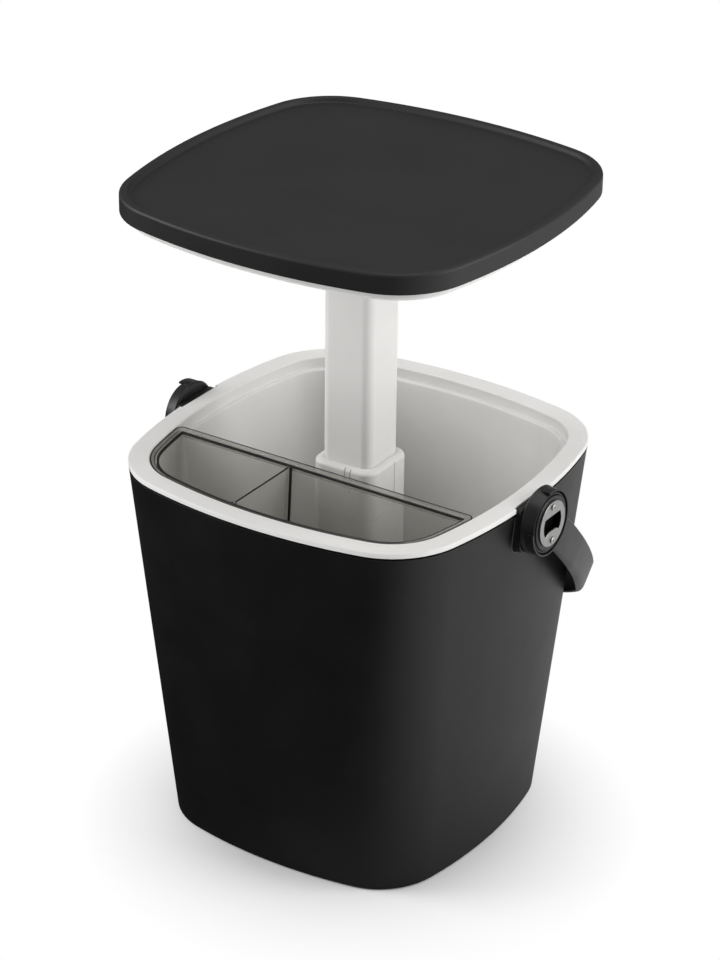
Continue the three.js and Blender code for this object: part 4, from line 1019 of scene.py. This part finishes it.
def makePlug():
    radius, head, tip, gap = pick(plug, "radius head tip gap")
    seat = flangeFace + gap
    end, top, (dishStart, dishEnd) = seat - plug["length"], seat + plug["headHeight"], plug["dish"]
    profile = [(hair, end), (radius - tip, end), (radius, end + tip), (radius, seat), (head, seat)]
    profile += [(head + out, top + rise) for out, rise in plug["edge"]]
    profile += [(head - dishStart, top), (head - dishEnd, top - plug["dishDepth"]),
                (hair, top - plug["dishDepth"])]
    return place(turned("drainPlug", profile, 72), drainPlace)


piece(makeBush(), "bucket", greyPlastic, "grey_plastic", "drain_bush")
piece(makePlug(), "drain_plug", blackRubber, "rubber", "drain_plug")
print("stage: drain")

# Finishes of the CAD nodes that stay

carried = {
    greyPlastic: ["foot_guide", "drain_nut"],
    blackRubber: ["brake_pad_left", "brake_pad_right", "drain_seal"],
    zincSteel: ["guide_pin"]
    + [f"{kind}_{name}" for kind in ("base_screw", "sleeve_screw") for name, _, _ in corners]
    + [f"bracket_screw_{side}_{row}" for side in ("left", "right") for row in ("front", "back")]}
for look, names in carried.items():
    for name in names:
        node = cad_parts[name]
        node.data.materials.clear()
        node.data.materials.append(look)

# Floor, lamps and camera, in metres

studio = {
    "floor": "#f4f4f4", "seen": "#f1f1f1", "dark": "#1e1e1e", "bright": "#cdcdcd", "white": "#ffffff",
    "half": 9.0, "middle": (0.028, -0.036, 0), "near": 0.14, "far": 0.29,
    "sweepWay": (0.7, 0.714, 0.0), "sweepStart": -0.2, "sweepEnd": 0.25, "fill": 0.52, "sheen": 0.2}


def makeFloor():  # grey near the object, white further out, and a dark-to-bright sweep in reflections
    half = studio["half"] / mm
    plane = meshOf("floor", [(-half, -half, 0), (half, -half, 0), (half, half, 0), (-half, half, 0)],
                   [(0, 1, 2, 3)])
    material, tree = newLook("white studio floor")
    where = onPiece(tree)
    path = addNode(tree, "LightPath")

    def matte(key):
        return addNode(tree, "BsdfDiffuse", {"Color": linear(studio[key])})

    pale = matte("floor")
    white = addNode(tree, "Emission", {"Color": linear(studio["white"]), "Strength": 1.0})
    shaded = matte("seen")
    reach = addNode(tree, "VectorMath", {0: where, 1: studio["middle"]}, operation="DISTANCE")
    fade = between(tree, reach.outputs["Value"], 0.0, 1.0, studio["near"], studio["far"])
    seen = mixed(tree, fade, shaded, white)
    dark = matte("dark")
    bright = matte("bright")
    along = addNode(tree, "VectorMath", {0: where, 1: studio["sweepWay"]}, operation="DOT_PRODUCT")
    sweep = between(tree, along.outputs["Value"], 0.0, 1.0, studio["sweepStart"], studio["sweepEnd"])
    mirrored = mixed(tree, sweep, dark, bright)
    other = mixed(tree, path.outputs["Is Glossy Ray"], pale, mirrored)
    final = mixed(tree, path.outputs["Is Camera Ray"], other, seen)
    show(tree, final)
    plane.data.materials.append(material)


makeFloor()


def makeWorld():
    world = bpy.data.worlds.new("studio")
    scene.world = world
    world.use_nodes = True
    tree = world.node_tree
    tree.nodes.clear()
    path = addNode(tree, "LightPath")
    seen, fill, sheen = [
        addNode(tree, "Background", {"Color": linear(studio["white"]), "Strength": strength})
        for strength in (1.0, studio["fill"], studio["sheen"])]
    other = mixed(tree, path.outputs["Is Glossy Ray"], fill, sheen)
    rays = {0: path.outputs["Is Camera Ray"], 1: path.outputs["Is Transmission Ray"]}
    through = addNode(tree, "Math", rays, operation="MAXIMUM")
    final = mixed(tree, through.outputs[0], other, seen)
    show(tree, final, "OutputWorld")


makeWorld()

lamps = {
    "overhead": {"at": (0.3, 0.4, 3.2), "target": (0, 0, 0.3), "width": 2.4, "height": 2.4, "watts": 27},
    "right side": {"at": (2.6, 0.9, 1.3), "target": (0, 0, 0.4), "width": 1.6, "height": 2.2, "watts": 50},
    "left side": {"at": (-2.3, -1.4, 1.5), "target": (0, 0, 0.4), "width": 1.4, "height": 1.6, "watts": 50}}


def addLamp(name, at, target, width, height, watts):
    data = bpy.data.lights.new(name, "AREA")
    data.shape, data.size, data.size_y, data.energy = "RECTANGLE", width, height, watts
    lamp = bpy.data.objects.new(name, data)
    scene.collection.objects.link(lamp)
    lamp.location = at
    lamp.rotation_mode = "QUATERNION"
    lamp.rotation_quaternion = (Vector(target) - Vector(at)).to_track_quat("-Z", "Y")


for name, lamp in lamps.items():
    addLamp(name, **lamp)

shot = {"place": (1.5392, -2.3563, 1.7997), "azimuth": 33.15, "elevation": 27.014, "roll": 0.659,
        "lens": 118.93, "sensor": 36, "clip": (0.1, 50)}


def makeCamera():
    data = bpy.data.cameras.new("camera")
    data.sensor_fit, data.sensor_width, data.lens = "AUTO", shot["sensor"], shot["lens"]
    data.clip_start, data.clip_end = shot["clip"]
    camera = bpy.data.objects.new("camera", data)
    scene.collection.objects.link(camera)
    azimuth, elevation, roll = [math.radians(angle) for angle in pick(shot, "azimuth elevation roll")]
    turn = Matrix.Rotation(azimuth, 4, "Z") @ Matrix.Rotation(quarterTurn - elevation, 4, "X")
    camera.matrix_world = Matrix.Translation(shot["place"]) @ turn @ Matrix.Rotation(roll, 4, "Z")
    scene.camera = camera


makeCamera()
scene.view_settings.view_transform = "Standard"
print("stage: studio")
